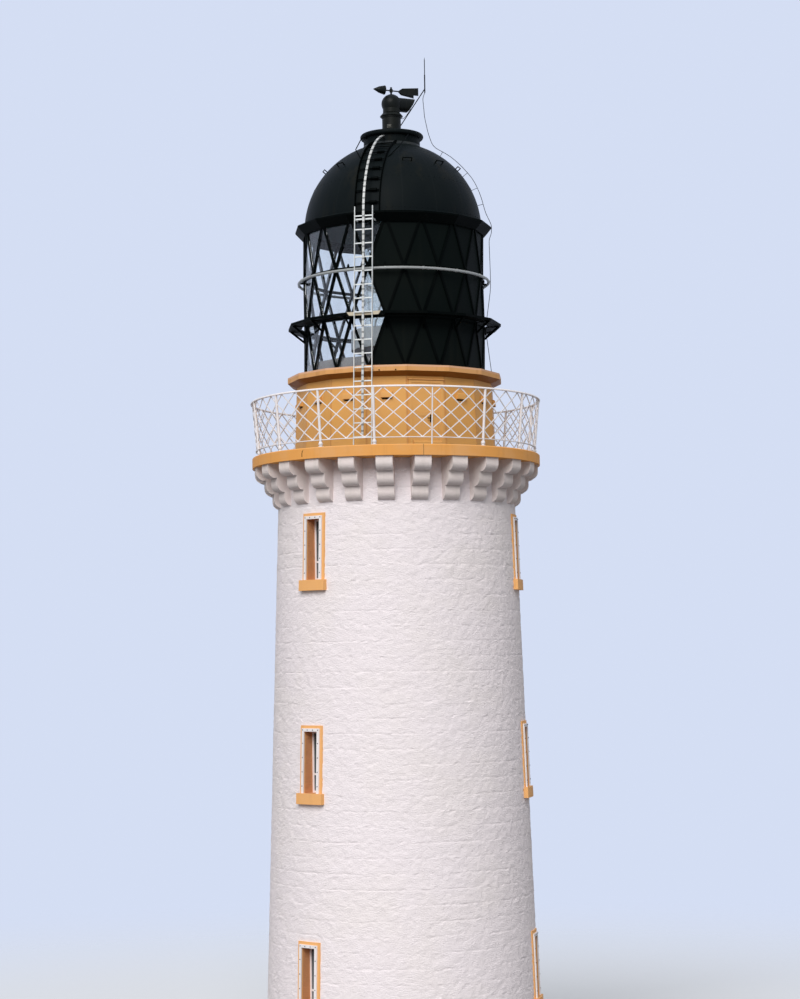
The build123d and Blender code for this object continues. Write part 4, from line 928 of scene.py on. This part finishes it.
# %% Window bolts
bolt_radius = 0.0095
bolt_height = 0.008
bolt_side = 0.20
bolt_inner = 0.07
bolt_first = 0.135
bolt_step = 0.27
bolt_above = 0.03
frame_front = 0.0565
bolt_rises = [bolt_first + bolt_step * index for index in range(4)]
bolt_rows = [(side, rise) for side in (-bolt_side, bolt_side) for rise in bolt_rises]
bolt_rows += [(side, window_height + bolt_above) for side in (-bolt_side, -bolt_inner, bolt_inner, bolt_side)]
bolt_spots = []
for foot in window_feet:
    for azimuth in window_azimuths:
        for side, rise in bolt_rows:
            radius = wall_face(foot + rise) + frame_front
            bolt_spots.append(at(azimuth + asin(side / radius), radius, foot + rise))
fit(copies(stud("window_bolts", bolt_radius, bolt_height), bolt_spots), *black_iron)

# %% [markdown]
# Every side of the lantern base but the door's has a hooded air vent. The hood is a block whose
# front edge is taken off and which is hollowed from below. Under it a slot block in black iron
# stands for painted shade: the hood's shadow and the dark opening. These hoods stand for the plainer
# built ones, which stay for collision.

# %% Vent hoods
side_count = 16
side_step = 2 * pi / side_count
base_foot_radius = 2.030
base_top_radius = 1.980
base_lean = atan2((base_foot_radius - base_top_radius) * cos(side_step / 2), base_height)
door_side = radians(17.75)
hood_size = (0.215, 0.060, 0.125)
hood_foot = 0.985
hood_slope = 0.040
hood_wall = 0.010
slot_size = (0.175, 0.006, 0.022)
slot_lip = 0.004
slot_drop = 0.018


def on_base(azimuth, rise):
    """On a leaning side of the lantern base, at a height above the gallery."""
    corner = base_foot_radius + (base_top_radius - base_foot_radius) * rise / base_height
    radius = corner * cos(side_step / 2)
    return at(azimuth, radius, gallery_level + rise) @ Matrix.Rotation(-base_lean, 4, "X")


hood = block("vent_hoods", hood_size, lift=hood_size[2] / 2)
pick_outermost(hood, front, up)
round_off(hood_slope, segments=3)
shaped(hood)
pick_facing(hood, -up)
bpy.ops.mesh.inset(thickness=hood_wall)
draw_out(0, 0, 0.5 * hood_size[2])
shaped(hood)
hood_sides = [door_side + side_step * index for index in range(1, side_count)]
hoods = copies(hood, [on_base(azimuth, hood_foot) for azimuth in hood_sides])
fit(hoods, ochre_iron, "ochre_metal")
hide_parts("base_vents")

# The slot is black as painted shade, for the hood's shadow and the dark opening behind it.
slot = block("vent_slot_shades", slot_size)
pick_facing(slot, front)
bpy.ops.mesh.inset(thickness=slot_lip)
draw_out(0, slot_lip, 0)
shaped(slot)
fit(copies(slot, [on_base(azimuth, hood_foot - slot_drop) for azimuth in hood_sides]), *black_iron)

# %% [markdown]
# The gallery door gets what keeps the rain out: a drip bar over its head and a sloped weather
# board at its foot. Its face is set off by a narrow bead round each sunk panel. The bead is a thin
# block whose front and back are inset and taken out, and whose open edges are bridged.

# %% Gallery door trim
door_threshold = 0.060
door_width = 0.590
door_height = 1.210
door_proud = 0.014
door_rail = 0.060
drip_size = (0.730, 0.045, 0.020)
drip_above = 0.056
board_size = (0.560, 0.040, 0.075)
board_above = 0.012
bead_depth = 0.012
bead_width = 0.018

drip_bar = block("door_drip_bar", drip_size, lift=drip_size[2] / 2)
pick_outermost(drip_bar, front, up)
round_off(0.008)
shaped(drip_bar)
drip_place = on_base(door_side, door_threshold + door_height + drip_above)
fit(copies(drip_bar, [drip_place]), sole_ochre, "ochre_metal")

weather_board = block("door_weather_board", board_size, back=door_proud, lift=board_size[2] / 2)
pick_outermost(weather_board, front, up)
round_off(0.030, segments=1)
shaped(weather_board)
fit(copies(weather_board, [on_base(door_side, door_threshold + board_above)]), door_ochre, "door_paint")

panel_width = door_width - 2 * door_rail
panel_height = (door_height - 3 * door_rail) / 2
bead = block("door_panel_beads", (panel_width, bead_depth, panel_height))
pick_facing(bead, front, -front)
bpy.ops.mesh.inset(thickness=bead_width)
bpy.ops.mesh.delete(type="FACE")
pick(bead, "EDGE", lambda edge: edge.is_boundary)
bpy.ops.mesh.bridge_edge_loops()
pick_outermost(bead, front, longer=0.1)
round_off(0.004)
shaped(bead)
panel_step = (panel_height + door_rail) / 2
panel_rises = [door_threshold + door_height / 2 + side * panel_step for side in (-1, 1)]
fit(copies(bead, [on_base(door_side, rise) for rise in panel_rises]), door_ochre, "door_paint")

# %% [markdown]
# Two small marks that the photograph shows are made too: a crack that runs up the gallery's rim,
# and pairs of dark bolt heads on the sole under the glazing. The crack is a thin strip that is
# extruded upwards twice, each time further aside, and drawn to a point.

# %% Rim crack and sole bolts
rim_radius = 2.880
crack_turn = radians(-38.4)
crack_size = (0.014, 0.002, 0.066)
crack_bends = ((0.012, 0.045), (0.026, 0.020))
crack_drop = 0.030
crack_tip = 0.3
sole_radius = 2.160
sole_bolt_level = gallery_level + 1.503
sole_bolt_sides = (-0.124, 0.195)
sole_bolt_size = (0.014, 0.010)

crack = block("rim_crack", crack_size)
pick_facing(crack, up)
for side, rise in crack_bends:
    draw_out(side, 0, rise)
bpy.ops.transform.resize(value=(crack_tip, 1, 1))
shaped(crack)
crack_place = at(crack_turn, rim_radius, (wall_top + gallery_level) / 2 - crack_drop)
fit(copies(crack, [crack_place]), *black_iron)

sole_reach = sole_radius * cos(side_step / 2)
sole_spots = []
for index in range(0, side_count, 4):
    turned = at(door_side - side_step * (index + 1), sole_reach, sole_bolt_level)
    sole_spots += [turned @ Matrix.Translation((side, 0, 0)) for side in sole_bolt_sides]
fit(copies(stud("sole_bolts", *sole_bolt_size), sole_spots), *black_iron)

# %% [markdown]
# Where the dome meets its cornice a round bead closes the joint, and a flashing does the same where
# the ventilator leaves the dome. Both are turned from a small outline with the spin tool. Rows of
# rivets hold the dome's foot, the drum and the cap. Each rivet has few faces, because there are
# over two hundred.

# %% Dome beads and rivets
drum_radius = 0.570
drum_top = gallery_level + 6.470
drum_rivets = 40
drum_rivet_drop = 0.035
dome_rivet_rows = ((0.15, 96), (0.82, 80))
rivet_size = (0.009, 0.006)
foot_bead_radius = 0.017
foot_bead_rise = 0.085
flash_steps = ((0.0, -0.010), (0.060, -0.028), (0.060, -0.012), (0.014, 0.020), (0.004, 0.045), (0.0, 0.045))


def on_dome(azimuth, rise):
    """On the dome, square to its face, at a height above its centre."""
    tilt = asin(rise / dome_radius)
    turned = Matrix.Rotation(azimuth, 4, "Z") @ Matrix.Rotation(-tilt, 4, "X")
    return Matrix.Translation((0, 0, dome_centre)) @ turned @ Matrix.Translation((0, -dome_radius, 0))


foot_ring = sqrt(dome_radius ** 2 - foot_bead_rise ** 2)
foot_outline = []
for turn in ring(10):
    across = foot_ring + foot_bead_radius * cos(turn)
    foot_outline.append((across, dome_centre + foot_bead_rise + foot_bead_radius * sin(turn)))
fit(spun("dome_foot_bead", foot_outline), dome_black, "black_metal")
flash_level = dome_centre + sqrt(dome_radius ** 2 - drum_radius ** 2)
flash_outline = [(drum_radius + out, flash_level + rise) for out, rise in flash_steps]
fit(spun("drum_flashing", flash_outline), worn_flashing, "black_metal")

rivet_spots = [on_dome(turn, rise) for rise, count in dome_rivet_rows for turn in ring(count)]
rivet_spots += [at(turn, drum_radius, drum_top - drum_rivet_drop) for turn in ring(drum_rivets)]
fit(copies(stud("dome_rivets", *rivet_size, sides=6), rivet_spots), dome_black, "black_metal")

# %% [markdown]
# On the lantern, a slim collar clamps the hand rail at each of its brackets, and a cast boss covers
# each meeting of the glazing bars behind it. Two dark lugs stand on the rail beside the ladder. The
# collar is a short cylinder laid along the rail, a little thicker than the rail it clamps.

# %% Collars and bosses
upper_phase = radians(-4.75)
lower_phase = radians(6.5)
rail_radius = 1.915
rail_level = gallery_level + 3.520
collar_radius = 0.0325
collar_length = 0.044
lug_size = (0.040, 0.030, 0.075)
lug_lift = 0.055
lug_lip = 0.008
lug_tip = 0.022
boss_size = (0.042, 0.020)
boss_radius = 1.8335
boss_level = gallery_level + 3.575

collar = begin("rail_collars", bpy.ops.mesh.primitive_cylinder_add, vertices=14,
               radius=collar_radius, depth=collar_length, rotation=(0, pi / 2, 0))
pick_facing(collar, right, -right)
round_off(0.007)
shaped(collar, 40.0)
collar_spots = [at(turn, rail_radius, rail_level) for turn in ring(side_count, upper_phase)]
fit(copies(collar, collar_spots), galvanised, "grey_metal")

lug = block("rail_lugs", lug_size, back=-lug_size[1] / 2, lift=lug_lift)
pick_facing(lug, up)
bpy.ops.mesh.inset(thickness=lug_lip)
draw_out(0, 0, lug_tip)
shaped(lug)
lug_turns = (upper_phase, upper_phase - side_step)
fit(copies(lug, [at(turn, rail_radius, rail_level) for turn in lug_turns]), *black_iron)

boss = stud("glazing_bosses", *boss_size, sides=12, crown=0.8)
boss_spots = [at(turn, boss_radius, boss_level) for turn in ring(side_count, lower_phase)]
fit(copies(boss, boss_spots), *black_iron)

# %% [markdown]
# The treads of the dome's ladder carry thick dark foot plates, to the right of the arrest rail. Each
# is a block with its front edges rounded, set square to the dome at the height of its tread.

# %% Foot plates on the dome
ladder_azimuth = radians(-16.0)
tread_first = radians(8.0)
tread_step = radians(8.2)
plate_count = 6
plate_size = (0.150, 0.046, 0.052)
plate_side = 0.115
plate_back = 0.013

plate = block("dome_foot_plates", plate_size, side=plate_side, back=plate_back)
pick_outermost(plate, front)
round_off(0.012)
shaped(plate)
plate_rises = [dome_radius * sin(tread_first + tread_step * index) for index in range(plate_count)]
fit(copies(plate, [on_dome(ladder_azimuth, rise) for rise in plate_rises]), *black_iron)

# %% [markdown]
# The ventilator's neck has a small worn hatch, which catches a little light in the photograph. Its
# lid is inset and drawn out a little, so that its rim throws a line of shadow.

# %% Neck hatch
neck_radius = 0.190
hatch_turn = radians(-14.0)
hatch_level = gallery_level + 6.72
hatch_size = (0.085, 0.012, 0.070)
hatch_sunk = 0.002
hatch_rim = 0.012
hatch_proud = 0.006

hatch = block("neck_hatch", hatch_size, back=-hatch_sunk)
pick_facing(hatch, front)
bpy.ops.mesh.inset(thickness=hatch_rim)
draw_out(0, -hatch_proud, 0)
round_off(0.003)
shaped(hatch)
fit(copies(hatch, [at(hatch_turn, neck_radius, hatch_level)]), hatch_brass, "grey_metal")

# %% [markdown]
# The arrow's tail is a pair of feathers that spread like a fletching. Each is a thin plate, cut to
# a point where it meets the rod and a little taller at its end. The feathers turn with the cowl.

# %% Arrow feathers
wind_turn = radians(25.0)
feather_start = 0.170
feather_taper = 0.070
feather_length = 0.400
feather_height = 0.150
feather_thickness = 0.006
feather_side = 0.0162
feather_spread = radians(14.0)
feather_end = 1.08
feather_neck = 0.84
feather_tip = 0.26
feather_level = (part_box("arrow_tail")[0].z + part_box("arrow_tail")[1].z) / 2


def along_feather(edge):
    """Whether an edge runs along the top or the foot of a feather."""
    first, second = (vertex.co for vertex in edge.verts)
    return abs(first.z + second.z) / 2 > 0.03 and abs(first.x - second.x) > 0.01


full_length = feather_length - feather_taper
feather = block("arrow_feathers", (full_length, feather_thickness, feather_height),
                side=feather_taper + full_length / 2, back=-feather_thickness / 2)
pick_facing(feather, right)
bpy.ops.transform.resize(value=(1, 1, feather_end))
pick_facing(feather, -right)
bpy.ops.transform.resize(value=(1, 1, feather_neck))
draw_out(-feather_taper, 0, 0)
bpy.ops.transform.resize(value=(1, 1, feather_tip))
pick(feather, "EDGE", along_feather)
round_off(0.0015, segments=1)
shaped(feather)
rod = Matrix.Rotation(wind_turn, 4, "Z")
feather_spots = []
for side in (-1, 1):
    root = rod @ Matrix.Translation((feather_start, side * feather_side, feather_level))
    feather_spots.append(root @ Matrix.Rotation(side * feather_spread, 4, "Z"))
feathers = copies(feather, feather_spots)
fit(feathers, ventilator_black, "black_metal", "cowl")
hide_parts("arrow_tail")

# %% [markdown]
# The entrance door is on the side that the photograph doesn't show. It is finished plainly as such
# doors are: upright boards with their edges taken off, two iron straps with studs, and a ring.

# %% Entrance door
leaf_radius = foot_radius - door_head * wall_batter - 0.180
leaf_width = 2 * door_half - 0.020
board_count = 6
board_gap = 0.004
board_depth = 0.014
board_width = leaf_width / board_count
board_height = door_head - door_foot - 0.020
strap_size = (0.600, 0.007, 0.055)
strap_side = -0.080
strap_point = 0.060
strap_tip = 0.35
strap_stud_size = (0.013, 0.008)
strap_rises = (-0.66, 0.66)
stud_reach = 0.021
ring_place = (0.30, -0.024, 0.02)
door_place = at(door_azimuth, leaf_radius, (door_foot + door_head) / 2)


def on_door(x, y, z):
    return door_place @ Matrix.Translation((x, y, z))


board = block("door_boards", (board_width - board_gap, board_depth, board_height))
pick_outermost(board, front)
round_off(0.004)
shaped(board)
board_sides = [(index - (board_count - 1) / 2) * board_width for index in range(board_count)]
fit(copies(board, [on_door(side, 0, 0) for side in board_sides]), door_ochre, "door_paint")

strap = block("door_straps", strap_size, side=strap_side, back=board_depth)
pick_facing(strap, right)
draw_out(strap_point, 0, 0)
bpy.ops.transform.resize(value=(1, 1, strap_tip))
shaped(strap)
fit(copies(strap, [on_door(0, 0, rise) for rise in strap_rises]), *black_iron)
stud_spots = [on_door(side, -stud_reach, rise) for rise in strap_rises for side in board_sides[:-1]]
fit(copies(stud("strap_studs", *strap_stud_size), stud_spots), *black_iron)

door_pull = begin("door_ring", bpy.ops.mesh.primitive_torus_add, major_radius=0.055, minor_radius=0.008,
                  major_segments=24, minor_segments=8, rotation=(pi / 2, 0, 0))
shaped(door_pull, 60.0)
fit(copies(door_pull, [on_door(*ring_place)]), *black_iron)
